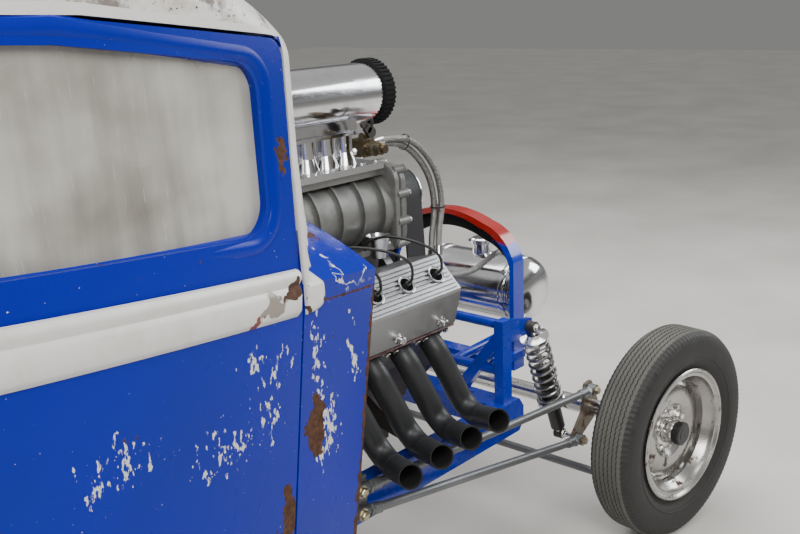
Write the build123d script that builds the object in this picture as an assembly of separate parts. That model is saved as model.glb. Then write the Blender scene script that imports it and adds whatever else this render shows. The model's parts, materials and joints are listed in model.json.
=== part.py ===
"""Street rod coupe built for drag racing: 1930s-style steel body, set-back V8 with a
roots blower and scoop, tube front axle on coil-overs, narrow front and wide rear tyres.

Millimetres. X forward, Y left, Z up. The origin is on the floor, midway along the car
and on its centre line. Lengths called "d" are measured rearward from the front axle.
"""
import math
import os

from build123d import *

os.makedirs("parts", exist_ok=True)

# Driving dimensions of the running gear
WHEELBASE = 2900
FRONT_TRACK = 1350
REAR_TRACK = 1330
FRONT_TYRE_R = 325
FRONT_TYRE_W = 140
FRONT_RIM_R = 190
FRONT_FLANGE_R = 208
REAR_TYRE_R = 395
REAR_TYRE_W = 270
REAR_RIM_R = 190
REAR_FLANGE_R = 208
TAIL_D = 3620
REST_STEER = -6.0
KINGPIN_INSET = 105
AXLE_R = 28
HUB_IN = -46
SPINDLE_R = 15
SPINDLE_DEPTH = 40
SEAT_GAP = 0.3
PIN_R = 10
PIN_CLEAR = 0.05

# Frame
RAIL_Y = 330
RAIL_W = 50
RAIL_H = 105
RAIL_TOP = 465
RAIL_FRONT_D = 330
RAIL_REAR_D = 3480
KICK_D = 2350
KICK_H = 170

# Engine
CRANK_Z = 600
BORE_PITCH = 119
FIRST_BORE_D = 700
BANK_ANGLE = 45
HEAD_BASE = 262
HEAD_H = 100
HEAD_W = 200
HEAD_L = 500
COVER_H = 100
COVER_BASE_W = 224
COVER_TOP_W = 114
COVER_L = 477
WELL_R = 20
FIN_PITCH = 12
FINS = 9
BLOCK_AHEAD = 85
BLOCK_BEHIND = 95
PIPE_R = 32
PIPE_WALL = 3

# Body
WALL = 40
COWL_D = 1100
PANEL_GAP = 6

# half lengths of the blocks that cut across the whole car
CUT_X = 3000
CUT_Y = 900
CUT_Z = 2000

# Front wheel's share of the overall length, with the wheels turned as they stand
CROWN_SHARE = 0.64
REST_TURN = math.radians(REST_STEER)
FRONT_REACH = (FRONT_TYRE_R * math.cos(REST_TURN)
               + (KINGPIN_INSET + CROWN_SHARE * FRONT_TYRE_W / 2) * math.sin(abs(REST_TURN)))
FRONT_AXLE_X = (TAIL_D - FRONT_REACH) / 2
REAR_AXLE_X = FRONT_AXLE_X - WHEELBASE
HALF_FRONT = FRONT_TRACK / 2
HALF_REAR = REAR_TRACK / 2
KINGPIN_Y = HALF_FRONT - KINGPIN_INSET


def fx(d):
    """X of a point that lies d behind the front axle."""
    return FRONT_AXLE_X - d


def mirror_y(shape):
    return mirror(shape, about=Plane.XZ)


def block(x0, x1, y0, y1, z0, z1):
    """A box between two corners."""
    size = (abs(x1 - x0), abs(y1 - y0), abs(z1 - z0))
    centre = ((x0 + x1) / 2, (y0 + y1) / 2, (z0 + z1) / 2)
    return Pos(*centre) * Box(*size)


def rod(p, q, radius):
    """A round bar from point p to point q."""
    a, b = Vector(*p), Vector(*q)
    line = b - a
    plane = Plane(origin=a, z_dir=line)
    return extrude(plane * Circle(radius), amount=line.length)


def tube(p, q, outer, inner):
    a, b = Vector(*p), Vector(*q)
    line = b - a
    plane = Plane(origin=a, z_dir=line)
    return extrude(plane * (Circle(outer) - Circle(inner)), amount=line.length)


def disc_y(x, y0, y1, z, radius):
    """A cylinder whose axis is parallel to Y."""
    return rod((x, y0, z), (x, y1, z), radius)


def fuse(shapes):
    shapes = list(shapes)
    return shapes[0].fuse(*shapes[1:]) if len(shapes) > 1 else shapes[0]


def side_prism(points, y0, y1):
    """A prism of an XZ outline, given as (d, z) points, between two Y values."""
    outline = Polyline(*[(fx(d), z) for d, z in points], close=True)
    face = Plane.XZ.offset(-y0) * make_face(outline)
    return extrude(face, amount=-(y1 - y0))


def steered(shape, side):
    """Turn a front wheel piece about its kingpin to the steering angle at rest."""
    pivot = Axis((FRONT_AXLE_X, side * KINGPIN_Y, 0), (0, 0, 1))
    return shape.rotate(pivot, REST_STEER)


def cross_plane(d):
    """The plane across the car at d: local x is the car's Y, local y is its Z."""
    return Plane(origin=(fx(d), 0, 0), x_dir=(0, 1, 0), z_dir=(1, 0, 0))


def cross_slab(face, d0, d1):
    """A prism of a YZ face from d0 rearward to d1."""
    return extrude(cross_plane(d0) * face, amount=-(d1 - d0))


def save(shape, name):
    export_step(shape, f"parts/{name}.step")


# Wheels and tyres

def lathe_y(points, x, y, z, side):
    """Revolve an (axial, radius) outline about an axle line; axial grows outward."""
    outline = Polyline(*points, close=True)
    solid = revolve(Plane.YZ * make_face(outline), Axis.Y)
    if side < 0:
        solid = mirror_y(solid)
    return Pos(x, y, z) * solid


def bead(width):
    """Half the distance between the tyre's beads."""
    return 0.36 * width


def tyre(x, y, radius, width, rim_r, flange_r, side):
    half, seat = width / 2, bead(width)
    lip = flange_r + 3
    shoulder = 0.955 * radius
    tread = 0.80 * half
    crown = CROWN_SHARE * half
    rising = [(seat, rim_r + SEAT_GAP), (seat, lip), (0.90 * half, lip + 14),
              (half, (lip + shoulder) / 2), (0.97 * half, shoulder - 14), (tread, shoulder + 7),
              (crown, radius)]
    points = [(-a, r) for a, r in rising] + [(a, r) for a, r in reversed(rising)]
    return lathe_y(points, x, y, radius, side)


def wheel(x, y, z, rim_r, flange_r, width, disc_out, side):
    """A steel disc wheel: rim barrel with flanges, dished centre and hub."""
    seat = bead(width) + SEAT_GAP
    well = rim_r - 28
    barrel = [
        (-seat, rim_r), (-seat, flange_r), (-seat - 11, flange_r), (-seat - 11, rim_r - 7),
        (-0.5 * seat, well - 6), (0.4 * seat, well - 6), (seat + 11, rim_r - 7),
        (seat + 11, flange_r), (seat, flange_r), (seat, rim_r), (0.4 * seat, well + 8),
        (-0.5 * seat, well + 8),
    ]
    dish = [
        (disc_out - 22, well), (disc_out - 10, well), (disc_out + 6, 130),
        (disc_out + 4, 88), (disc_out - 10, 78), (disc_out - 10, 30), (disc_out - 16, 30),
        (disc_out - 16, 82), (disc_out - 2, 92), (disc_out, 128),
    ]
    hub = [
        (HUB_IN, SPINDLE_R + PIN_CLEAR), (HUB_IN, 55), (disc_out - 16, 58), (disc_out - 10, 38),
        (disc_out + 42, 32), (disc_out + 48, 0), (HUB_IN + SPINDLE_DEPTH + 1, 0),
        (HUB_IN + SPINDLE_DEPTH + 1, SPINDLE_R + PIN_CLEAR),
    ]
    return fuse([lathe_y(p, x, y, z, side) for p in (barrel, dish, hub)])


def front_wheels():
    x, z = FRONT_AXLE_X, FRONT_TYRE_R
    for side, name in ((1, "left"), (-1, "right")):
        y = side * HALF_FRONT
        rubber = tyre(x, y, FRONT_TYRE_R, FRONT_TYRE_W, FRONT_RIM_R, FRONT_FLANGE_R, side)
        steel = wheel(x, y, z, FRONT_RIM_R, FRONT_FLANGE_R, FRONT_TYRE_W, 8, side)
        save(steered(rubber, side), f"tyre_front_{name}")
        save(steered(steel, side), f"wheel_front_{name}")


def rear_wheels():
    x, z = REAR_AXLE_X, REAR_TYRE_R
    for side, name in ((1, "left"), (-1, "right")):
        y = side * HALF_REAR
        rubber = tyre(x, y, REAR_TYRE_R, REAR_TYRE_W, REAR_RIM_R, REAR_FLANGE_R, side)
        save(rubber, f"tyre_rear_{name}")
        steel = wheel(x, y, z, REAR_RIM_R, REAR_FLANGE_R, REAR_TYRE_W, 30, side)
        save(steel, f"wheel_rear_{name}")


# Front suspension and steering

BATWING_Y = 395
BATWING_T = 12
UPPER_EYE = (25, 400)
LOWER_EYE = (100, 252)
ROD_R = 12
EYE_R = 18
KNUCKLE_H = 60
ARM_D = 130
TIE_Z = 205
ARM_END_H = 30
BALL_R = 17
TIE_PIN_R = 6


TIE_BALL_Z = TIE_Z - ARM_END_H / 2 - BALL_R - 1


def front_axle():
    z = FRONT_TYRE_R
    beam = rod((fx(0), -KINGPIN_Y, z), (fx(0), KINGPIN_Y, z), AXLE_R)
    pieces = [beam]
    for side in (1, -1):
        boss = Pos(fx(0), side * KINGPIN_Y, z) * Cylinder(24, 2 * KNUCKLE_H - 40)
        y = side * BATWING_Y
        plate = side_prism(
            [(-34, 335), (UPPER_EYE[0] - 14, UPPER_EYE[1] + 24), (UPPER_EYE[0] + 20, UPPER_EYE[1] + 20),
             (60, 330), (LOWER_EYE[0] + 24, LOWER_EYE[1] + 8), (LOWER_EYE[0] + 8, LOWER_EYE[1] - 22),
             (10, 280), (-30, 300)],
            y - BATWING_T / 2, y + BATWING_T / 2)
        pieces += [boss, plate]
    bores = [Pos(fx(0), s * KINGPIN_Y, z) * Cylinder(PIN_R + PIN_CLEAR, 4 * KNUCKLE_H) for s in (1, -1)]
    save(fuse(pieces) - bores, "front_axle")


def knuckles():
    z = FRONT_TYRE_R
    for side, name in ((1, "left"), (-1, "right")):
        ky = side * KINGPIN_Y
        x = fx(0)
        lugs = [Pos(x, ky, z + s * (KNUCKLE_H - 8)) * Cylinder(26, 22) for s in (1, -1)]
        back = block(x - 26, x + 26, ky + side * 30, ky + side * 52, z - KNUCKLE_H, z + KNUCKLE_H)
        webs = [block(x - 22, x + 22, ky, ky + side * 40, z + s * (KNUCKLE_H - 8) - 11,
                      z + s * (KNUCKLE_H - 8) + 11) for s in (1, -1)]
        pin = Pos(x, ky, z) * Cylinder(PIN_R, 2 * KNUCKLE_H + 14)
        spindle_end = ky + side * (KINGPIN_INSET + HUB_IN - 1)
        spindle = fuse([disc_y(x, ky + side * 32, spindle_end, z, 30),
                        disc_y(x, ky + side * 32, spindle_end + side * SPINDLE_DEPTH, z, SPINDLE_R)])
        end = (fx(ARM_D), ky, TIE_Z)
        arm = fuse([rod((x, ky, z - KNUCKLE_H - 4), end, 12), Pos(*end) * Cylinder(15, ARM_END_H),
                    rod(end, (end[0], ky, TIE_BALL_Z - BALL_R - 2), TIE_PIN_R)])
        solid = fuse(lugs + webs + [back, pin, spindle, arm])
        save(steered(solid, side), f"knuckle_{name}")


def arm_end(side):
    """Where the tie rod meets a steering arm, with the wheels at rest."""
    return fx(0) - ARM_D * math.cos(REST_TURN), side * KINGPIN_Y - ARM_D * math.sin(REST_TURN)


def tie_rod():
    ends = [arm_end(side) + (TIE_BALL_Z,) for side in (1, -1)]
    bar = rod(ends[0], ends[1], 12.5)
    holes = [Pos(*p) * Cylinder(TIE_PIN_R + PIN_CLEAR, 4 * BALL_R) for p in ends]
    save(fuse([bar] + [Pos(*p) * Sphere(BALL_R) for p in ends]) - holes, "tie_rod")


ROD_REAR = {"upper": (1080, 470), "lower": (1080, 408)}
ROD_EYE_HALF = 13
ROD_PLATE_T = 12


def radius_rods():
    """Two rods a side, from the axle's plates back to a plate on the frame rail."""
    rail_face = RAIL_Y + RAIL_W / 2 + SEAT_GAP
    y_front = BATWING_Y + BATWING_T / 2 + SEAT_GAP + ROD_EYE_HALF
    y_rear = rail_face + ROD_PLATE_T + ROD_EYE_HALF - 1
    sets = []
    for side in (1, -1):
        pieces = []
        for (d0, z0), (d1, z1) in ((UPPER_EYE, ROD_REAR["upper"]), (LOWER_EYE, ROD_REAR["lower"])):
            p, q = (fx(d0), side * y_front, z0), (fx(d1), side * y_rear, z1)
            pieces.append(rod(p, q, ROD_R))
            pieces += [disc_y(e[0], e[1] - ROD_EYE_HALF, e[1] + ROD_EYE_HALF, e[2], EYE_R) for e in (p, q)]
        y0, y1 = sorted((side * rail_face, side * (rail_face + ROD_PLATE_T)))
        plate = side_prism([(1040, 380), (1130, 380), (1130, 495), (1040, 495)], y0, y1)
        sets.append(fuse(pieces + [plate]))
    save(Compound(children=sets), "radius_rods")


COIL_TOP = (270, 668)
COIL_LOW = (112, 262)
COIL_Y = 345
SPRING_R = 42
WIRE_R = 6
COIL_TURNS = 7


def coil_sleeve(start, line, length, outer=SPRING_R, turns=COIL_TURNS):
    """A spring's turns as ridges of one sleeve, from start along line."""
    pitch = length / turns
    inner = outer - 2 * WIRE_R
    outline = [(inner - 1, 0)]
    for i in range(turns):
        z = i * pitch
        outline += [(inner + 2, z), (outer, z + 0.3 * pitch), (outer, z + 0.6 * pitch), (inner + 2, z + 0.9 * pitch)]
    outline += [(inner - 1, length)]
    outline += [(inner - 4, length), (inner - 4, 0)]
    profile = make_face(Plane.XZ * Polyline(*outline, close=True))
    return Plane(origin=start, z_dir=line) * revolve(profile, Axis.Z)


def front_coilovers():
    pair = []
    for side in (1, -1):
        y = side * COIL_Y
        top = Vector(fx(COIL_TOP[0]), y, COIL_TOP[1])
        low = Vector(fx(COIL_LOW[0]), y, COIL_LOW[1])
        line = (top - low).normalized()
        length = (top - low).length

        def at(t):
            p = low + line * t
            return (p.X, p.Y, p.Z)

        spring = coil_sleeve(at(length * 0.36), line, length * 0.54)
        body = rod(at(22), at(length * 0.62), 24)
        shaft = rod(at(length * 0.5), at(length - 16), 9)
        seat = rod(at(length * 0.32), at(length * 0.37), 45)
        cap = rod(at(length * 0.89), at(length * 0.93), 45)
        eyes = [disc_y(p.X, y - 14, y + 14, p.Z, 18) for p in (low, top)]
        stub = rod(at(0), at(24), 12)
        y0, y1 = sorted((side * (COIL_Y + 14), side * (BATWING_Y - BATWING_T / 2 - SEAT_GAP)))
        bolt = disc_y(low.X, y0, y1, low.Z, 8)
        pair.append(fuse([spring, body, shaft, seat, cap, stub, bolt] + eyes))
    save(Compound(children=pair), "coilovers_front")


# Frame

TOWER_D = 400
TOWER_TOP = 722
TOWER_HALF = 22
TOWER_Y_HALF = 16
TOWER_BARS_Z = (560, 706)
TOWER_BAR_R = 15
BRACE_FOOT_Y = 165
CROSS_D = (362, 446)
CROSS_H = 72
TANK_R = 108
TANK_L = 456
TANK_D = 55
TANK_Z = 703


# cross tubes: distance behind the front axle, height, radius
CROSS_TUBES = ((1400, 392, 26), (2110, 392, 26), (2990, 600, 24), (3400, 590, 26))


def frame():
    rail = [
        (RAIL_FRONT_D, RAIL_TOP - 30), (RAIL_FRONT_D + 22, RAIL_TOP), (KICK_D, RAIL_TOP),
        (KICK_D + 200, RAIL_TOP + KICK_H), (RAIL_REAR_D, RAIL_TOP + KICK_H),
        (RAIL_REAR_D, RAIL_TOP + KICK_H - 80), (KICK_D + 230, RAIL_TOP + KICK_H - 95),
        (KICK_D + 40, RAIL_TOP - RAIL_H), (RAIL_FRONT_D + 22, RAIL_TOP - RAIL_H),
        (RAIL_FRONT_D, RAIL_TOP - RAIL_H + 30),
    ]
    pieces = [side_prism(rail, s * RAIL_Y - RAIL_W / 2, s * RAIL_Y + RAIL_W / 2) for s in (1, -1)]
    for d, z, r in CROSS_TUBES:
        pieces.append(rod((fx(d), -RAIL_Y, z), (fx(d), RAIL_Y, z), r))
    pieces.append(block(fx(CROSS_D[1]), fx(CROSS_D[0]), -RAIL_Y, RAIL_Y, RAIL_TOP - CROSS_H, RAIL_TOP))
    save(fuse(pieces), "frame")


def front_towers():
    """Uprights and inward braces on the front crossmember, with the coil-overs' upper mounts."""
    foot_z = RAIL_TOP + SEAT_GAP
    half, w = TOWER_HALF, TOWER_Y_HALF
    pieces = []
    for side in (1, -1):
        y = side * RAIL_Y
        post = block(fx(TOWER_D + half), fx(TOWER_D - half), y - w, y + w, foot_z, TOWER_TOP)
        brace = Polyline(*[(side * a, z) for a, z in (
            (BRACE_FOOT_Y - 22, foot_z), (BRACE_FOOT_Y + 22, foot_z), (RAIL_Y - 4, TOWER_TOP - 74),
            (RAIL_Y - 4, TOWER_TOP - 22))], close=True)
        pieces += [post, cross_slab(make_face(brace), TOWER_D - w, TOWER_D + w)]
        top_x, top_z = fx(COIL_TOP[0]), COIL_TOP[1]
        ear_y = side * (COIL_Y - 14 - SEAT_GAP)
        y0, y1 = sorted((ear_y, ear_y - side * 12))
        arm = side_prism([(COIL_TOP[0] - 22, top_z - 12), (COIL_TOP[0] - 22, top_z + 20),
                          (TOWER_D + 4, TOWER_TOP), (TOWER_D + 4, TOWER_TOP - 84),
                          (COIL_TOP[0] + 22, top_z - 26)], y0, y1)
        pin = disc_y(top_x, ear_y - side * 4, ear_y + side * SEAT_GAP * 0.5, top_z, 8)
        pieces += [arm, pin]
    for z in TOWER_BARS_Z:
        pieces.append(rod((fx(TOWER_D), -RAIL_Y, z), (fx(TOWER_D), RAIL_Y, z), TOWER_BAR_R))
    # struts from the lower cross bar out to the tank's bands
    saddle_top = TANK_Z - TANK_R - 4 - SEAT_GAP
    for side in (1, -1):
        y = side * (TANK_L / 2 - 80)
        pieces.append(block(fx(TANK_D + 16), fx(TANK_D - 16), y - 12, y + 12, saddle_top - 22, saddle_top))
        pieces.append(rod((fx(TOWER_D), y, TOWER_BARS_Z[0]), (fx(TANK_D + 4), y, saddle_top - 16), 14))
    save(fuse(pieces), "front_towers")


# Front tank and grille shell

SHELL_D = 195
SHELL_DEPTH = 55
SHELL_HALF = 264
SHELL_TOP = 993
SHELL_FOOT = 500
SHELL_WALL = 16
SHELL_PANEL = 46
STRAP_Y = 290
# corner of the arch, measured in from its half-width and down from its top: side, bend, crown end
ARCH_CORNER = ((0, 143), (23, 93), (114, 31))


def arch_face(half, top, foot=SHELL_FOOT):
    """The shell's outline: upright sides, round corners and a low crown."""
    right = [(half - a, top - b) for a, b in ARCH_CORNER]
    left = [(-y, z) for y, z in right]
    outline = (Polyline(left[0], (-half, foot), (half, foot), right[0]) + ThreePointArc(*right)
               + ThreePointArc(right[2], (0, top), left[2]) + ThreePointArc(*reversed(left)))
    return make_face(outline)


def grille_shell():
    back = SHELL_D + SHELL_DEPTH
    inner = (SHELL_HALF - SHELL_WALL, SHELL_TOP - SHELL_WALL)
    band = cross_slab(arch_face(SHELL_HALF, SHELL_TOP), SHELL_D, back)
    band -= cross_slab(arch_face(*inner), SHELL_D - 5, back + 5)
    band -= block(fx(back + 5), fx(SHELL_D - 5), -inner[0], inner[0], SHELL_FOOT - 5, SHELL_FOOT + 60)
    panel = cross_slab(arch_face(inner[0] + 2, inner[1] + 2), SHELL_D + 8, SHELL_D + 20)
    panel -= cross_slab(arch_face(inner[0] - 4, inner[1] - SHELL_PANEL), SHELL_D, back)
    sill = block(fx(back), fx(SHELL_D), -SHELL_HALF, SHELL_HALF, SHELL_FOOT, SHELL_FOOT + 22)
    z0, z1 = TOWER_BARS_Z[0] - 12, TOWER_BARS_Z[0] + 12
    end = TOWER_D - TOWER_BAR_R - SEAT_GAP
    pieces = [band, panel, sill]
    for side in (1, -1):
        lug_y = sorted((side * (SHELL_HALF - 6), side * STRAP_Y))
        strap_y = sorted((side * (STRAP_Y - 16), side * STRAP_Y))
        pieces.append(block(fx(back), fx(back - 25), *lug_y, z0, z1))
        pieces.append(block(fx(end), fx(back - 25), *strap_y, z0, z1))
    save(fuse(pieces), "grille_shell")


def front_tank():
    half = TANK_L / 2
    points = [(-half, 0), (-half + 6, 60), (-half + 44, TANK_R - 6), (-half + 62, TANK_R),
              (half - 62, TANK_R), (half - 44, TANK_R - 6), (half - 6, 60), (half, 0)]
    barrel = lathe_y(points, fx(TANK_D), 0, TANK_Z, 1)
    bands = [lathe_y([(y - 9, TANK_R - 2), (y - 9, TANK_R + 4), (y + 9, TANK_R + 4), (y + 9, TANK_R - 2)],
                     fx(TANK_D), 0, TANK_Z, 1) for y in (-half + 80, half - 80)]
    neck = Pos(fx(TANK_D), 0, TANK_Z + TANK_R + 14) * Cylinder(34, 40)
    save(fuse([barrel, neck] + bands), "front_tank")


# Engine

HALF_DECK = 85
VALLEY_DROP = 60
VALLEY_EDGE = tuple((HEAD_BASE + s * HALF_DECK) * math.cos(math.radians(BANK_ANGLE)) for s in (-1, 1))


def engine_block():
    z = CRANK_Z
    front, rear = FIRST_BORE_D - BLOCK_AHEAD, FIRST_BORE_D + 3 * BORE_PITCH + BLOCK_BEHIND
    deck, half_deck = HEAD_BASE, HALF_DECK
    c = math.cos(math.radians(BANK_ANGLE))
    right_up = (deck * c + half_deck * c, deck * c - half_deck * c)
    inner = VALLEY_EDGE
    outline = Polyline(
        (-130, z - 90), (130, z - 90), (150, z + 20), (right_up[0], z + right_up[1]),
        (inner[0], z + inner[1]), (0, z + inner[1] - VALLEY_DROP), (-inner[0], z + inner[1]),
        (-right_up[0], z + right_up[1]), (-150, z + 20), close=True)
    body = cross_slab(make_face(outline), front, rear)
    pan = block(fx(rear - 40), fx(front + 60), -110, 110, z - 210, z - 90 + 1)
    cover = block(fx(front), fx(front - 35), -120, 120, z - 80, z + 190)
    mounts = []
    for side in (1, -1):
        foot = Polyline(*[(side * y, h) for y, h in (
            (125, 505), (300, RAIL_TOP + SEAT_GAP), (352, RAIL_TOP + SEAT_GAP), (352, 482), (290, 486),
            (140, 585))], close=True)
        mounts.append(cross_slab(make_face(foot), 760, 800))
    save(fuse([body, pan, cover] + mounts), "engine_block")


def bank_frame(side):
    """Local frame of a cylinder bank: x rearward along the engine, z along the bores."""
    c = math.cos(math.radians(BANK_ANGLE))
    up = Vector(0, side * c, c)
    origin = Vector(fx(FIRST_BORE_D + 1.5 * BORE_PITCH), 0, CRANK_Z)
    return Plane(origin=origin, x_dir=(1, 0, 0), z_dir=up)


def bank_box(plane, x0, x1, y0, y1, z0, z1):
    return plane * Pos((x0 + x1) / 2, (y0 + y1) / 2, (z0 + z1) / 2) * Box(x1 - x0, y1 - y0, z1 - z0)


def bank_prism(plane, half_length, corners):
    """A prism along the engine of an outline across the bank, given as (across, up) points."""
    face = make_face(Polyline(*corners, close=True))
    section = Plane(origin=plane.from_local_coords((-half_length, 0, 0)), x_dir=plane.y_dir, z_dir=plane.x_dir)
    return extrude(section * face, amount=2 * half_length)


def heads_and_covers():
    """Heads, and covers with sloping sides, a finned top face and a well over each plug."""
    heads, covers = [], []
    for side in (1, -1):
        plane = bank_frame(side)
        z0 = HEAD_BASE + SEAT_GAP
        z1 = z0 + HEAD_H
        w = HEAD_W / 2
        heads.append(bank_box(plane, -HEAD_L / 2, HEAD_L / 2, -w, w, z0, z1))
        low, top = z1 + SEAT_GAP, HEAD_BASE + HEAD_H + COVER_H
        base, crest = COVER_BASE_W / 2, COVER_TOP_W / 2
        cover = bank_prism(plane, COVER_L / 2, [
            (-base, low), (base, low), (base, low + 12), (crest + 6, top - 6), (crest, top),
            (-crest, top), (-crest - 6, top - 6), (-base, low + 12)])
        for k in range(FINS):
            across = (k - (FINS - 1) / 2) * FIN_PITCH
            cover += bank_box(plane, -COVER_L / 2 + 8, COVER_L / 2 - 8, across - 2, across + 2, top - 2, top + 5)
        for i in range(4):
            along = (1.5 - i) * BORE_PITCH
            place = plane * Pos(along, 0, top + 1)
            cover += place * Cylinder(WELL_R + 6, 12)
            cover -= place * Cylinder(WELL_R, COVER_H)
        covers.append(cover)
    save(Compound(children=heads), "cylinder_heads")
    save(Compound(children=covers), "valve_covers")


BEND_Y = 366
BEND_Z = 509
BEND_AHEAD = 85
MOUTH_Y = 528
MOUTH_Z = 542
MOUTH_STEP = 6
MOUTH_AHEAD = 5
STUB = 46


def headers():
    """Four separate pipes a side from a flange on the head down to their own mouths."""
    face = -HEAD_W / 2 - SEAT_GAP
    middle = HEAD_BASE + HEAD_H / 2
    flange_t = 10
    for side, name in ((1, "left"), (-1, "right")):
        plane = bank_frame(side)
        low, high = (face - flange_t, face) if side < 0 else (-face, -face + flange_t)
        pieces = [bank_box(plane, -HEAD_L / 2 + 24, HEAD_L / 2 - 24, low, high, middle - 42, middle + 42)]
        for i in range(4):
            d = FIRST_BORE_D + i * BORE_PITCH
            along = (1.5 - i) * BORE_PITCH
            out = -1 if side < 0 else 1
            port = plane.from_local_coords((along, out * (-face + 2), middle))
            stub = plane.from_local_coords((along, out * (-face + STUB), middle))
            bend = (fx(d - BEND_AHEAD), side * BEND_Y, BEND_Z)
            mouth = (fx(d - MOUTH_AHEAD), side * MOUTH_Y, MOUTH_Z + MOUTH_STEP * (3 - i))
            path = FilletPolyline(tuple(port), tuple(stub), bend, mouth, radius=[56, 58])
            section = Plane(origin=path @ 0, z_dir=path % 0) * Circle(PIPE_R)
            bore = Plane(origin=path @ 0, z_dir=path % 0) * Circle(PIPE_R - PIPE_WALL)
            pieces.append(sweep(section, path=path) - sweep(bore, path=path))
        save(fuse(pieces), f"headers_{name}")


# Blower and injection

BELT_D = 454
BELT_W = 80
TOP_PULLEY_R = 74
CRANK_PULLEY_R = 102
COVER_FRONT_D = 581
BLOWER_FRONT_D = 627
BLOWER_L = 468
RIB_PITCH = 84
RIBS = 4
BLOWER_HALF = 138
BLOWER_LOW = 962
BLOWER_TOP = 1192
PLATE_T = 18
SCOOP_Z = 1392
SCOOP_R = 84
SCOOP_FRONT_D = 561
SCOOP_L = 560
SADDLE_H = 30
BAND_T = 7
BAND_TEETH = 44
RAM_R = 24
RAM_PITCH = 72
RAM_Y = 42
RAM_H = 82


def intake_manifold():
    d0, d1 = BLOWER_FRONT_D + 58, BLOWER_FRONT_D + BLOWER_L - 20
    foot_half, top_half = 90, 115
    slope = VALLEY_DROP * (1 - foot_half / VALLEY_EDGE[0])
    foot_z = CRANK_Z + VALLEY_EDGE[1] - slope + SEAT_GAP
    middle = (fx(d0) + fx(d1)) / 2
    low = Plane(origin=(middle, 0, foot_z)) * Rectangle(d1 - d0, 2 * foot_half)
    top = Plane(origin=(middle, 0, BLOWER_LOW - SEAT_GAP)) * Rectangle(d1 - d0, 2 * top_half)
    save(loft([low, top]), "intake_manifold")


def blower_profile(grow):
    """Two round lobes side by side, moved outward by grow."""
    middle = (BLOWER_LOW + BLOWER_TOP) / 2
    lobe = (BLOWER_TOP - BLOWER_LOW) / 2
    flat = BLOWER_HALF - lobe
    r = lobe + grow
    return (Pos(-flat, middle) * Circle(r) + Pos(flat, middle) * Circle(r)
            + Pos(0, middle) * Rectangle(2 * flat, 2 * r))


def blower():
    """Ribbed rotor case, thick end plates, the drive cover ahead of them, foot and top flange."""
    d0, d1 = BLOWER_FRONT_D, BLOWER_FRONT_D + BLOWER_L
    pieces = [cross_slab(blower_profile(-12), d0 + 40, d1 - 20)]
    for i in range(RIBS):
        rib_d = d0 + 49 + RIB_PITCH * (i + 0.9)
        pieces.append(cross_slab(blower_profile(-3), rib_d - 4, rib_d + 4))
    pieces += [cross_slab(blower_profile(0), d0, d0 + 49), cross_slab(blower_profile(0), d1 - 24, d1)]
    pieces.append(cross_slab(blower_profile(-7), COVER_FRONT_D, d0 + 1))
    half = BLOWER_HALF - 10
    pieces.append(block(fx(d1 - 10), fx(d0 + 10), -half, half, BLOWER_LOW, BLOWER_LOW + 16))
    pieces.append(block(fx(d1 - 6), fx(d0 + 6), -100, 100, BLOWER_TOP - 20, BLOWER_TOP))
    save(fuse(pieces), "blower_case")


def blower_drive():
    """Drive snout, top pulley, crank pulley and the belt round both."""
    middle = (BLOWER_LOW + BLOWER_TOP) / 2
    back = BELT_D + BELT_W + 6

    def bar(d0, d1, z, r):
        return rod((fx(d1), 0, z), (fx(d0), 0, z), r)

    def pulley(z, r, carrier_end, hub_r):
        """Belt wheel with flanges and a dished front, on its shaft or snout."""
        wheel_form = bar(BELT_D, back, z, r)
        dish = bar(BELT_D - 1, BELT_D + 34, z, r - 14) - bar(BELT_D - 1, BELT_D + 35, z, hub_r + 8)
        rims = [bar(d, d + 3, z, r + 9) for d in (BELT_D, back - 3)]
        return fuse([wheel_form - dish, bar(back - 4, carrier_end - SEAT_GAP, z, hub_r)] + rims)

    top = pulley(middle, TOP_PULLEY_R, COVER_FRONT_D, 40)
    crank = pulley(CRANK_Z, CRANK_PULLEY_R, FIRST_BORE_D - BLOCK_AHEAD - 35, 30)
    save(Compound(children=[top, crank]), "drive_pulleys")

    def loop(grow):
        r_top, r_low = TOP_PULLEY_R + SEAT_GAP + grow, CRANK_PULLEY_R + SEAT_GAP + grow
        lean = (r_low - r_top) / (middle - CRANK_Z)
        c = math.sqrt(1 - lean * lean)
        sides = [(-r_top * c, middle + r_top * lean), (r_top * c, middle + r_top * lean),
                 (r_low * c, CRANK_Z + r_low * lean), (-r_low * c, CRANK_Z + r_low * lean)]
        return (Pos(0, middle) * Circle(r_top) + Pos(0, CRANK_Z) * Circle(r_low)
                + make_face(Polyline(*sides, close=True)))

    start = BELT_D + 3 + SEAT_GAP
    save(cross_slab(loop(6) - loop(0), start, start + BELT_W - 0.6), "blower_belt")


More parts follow.
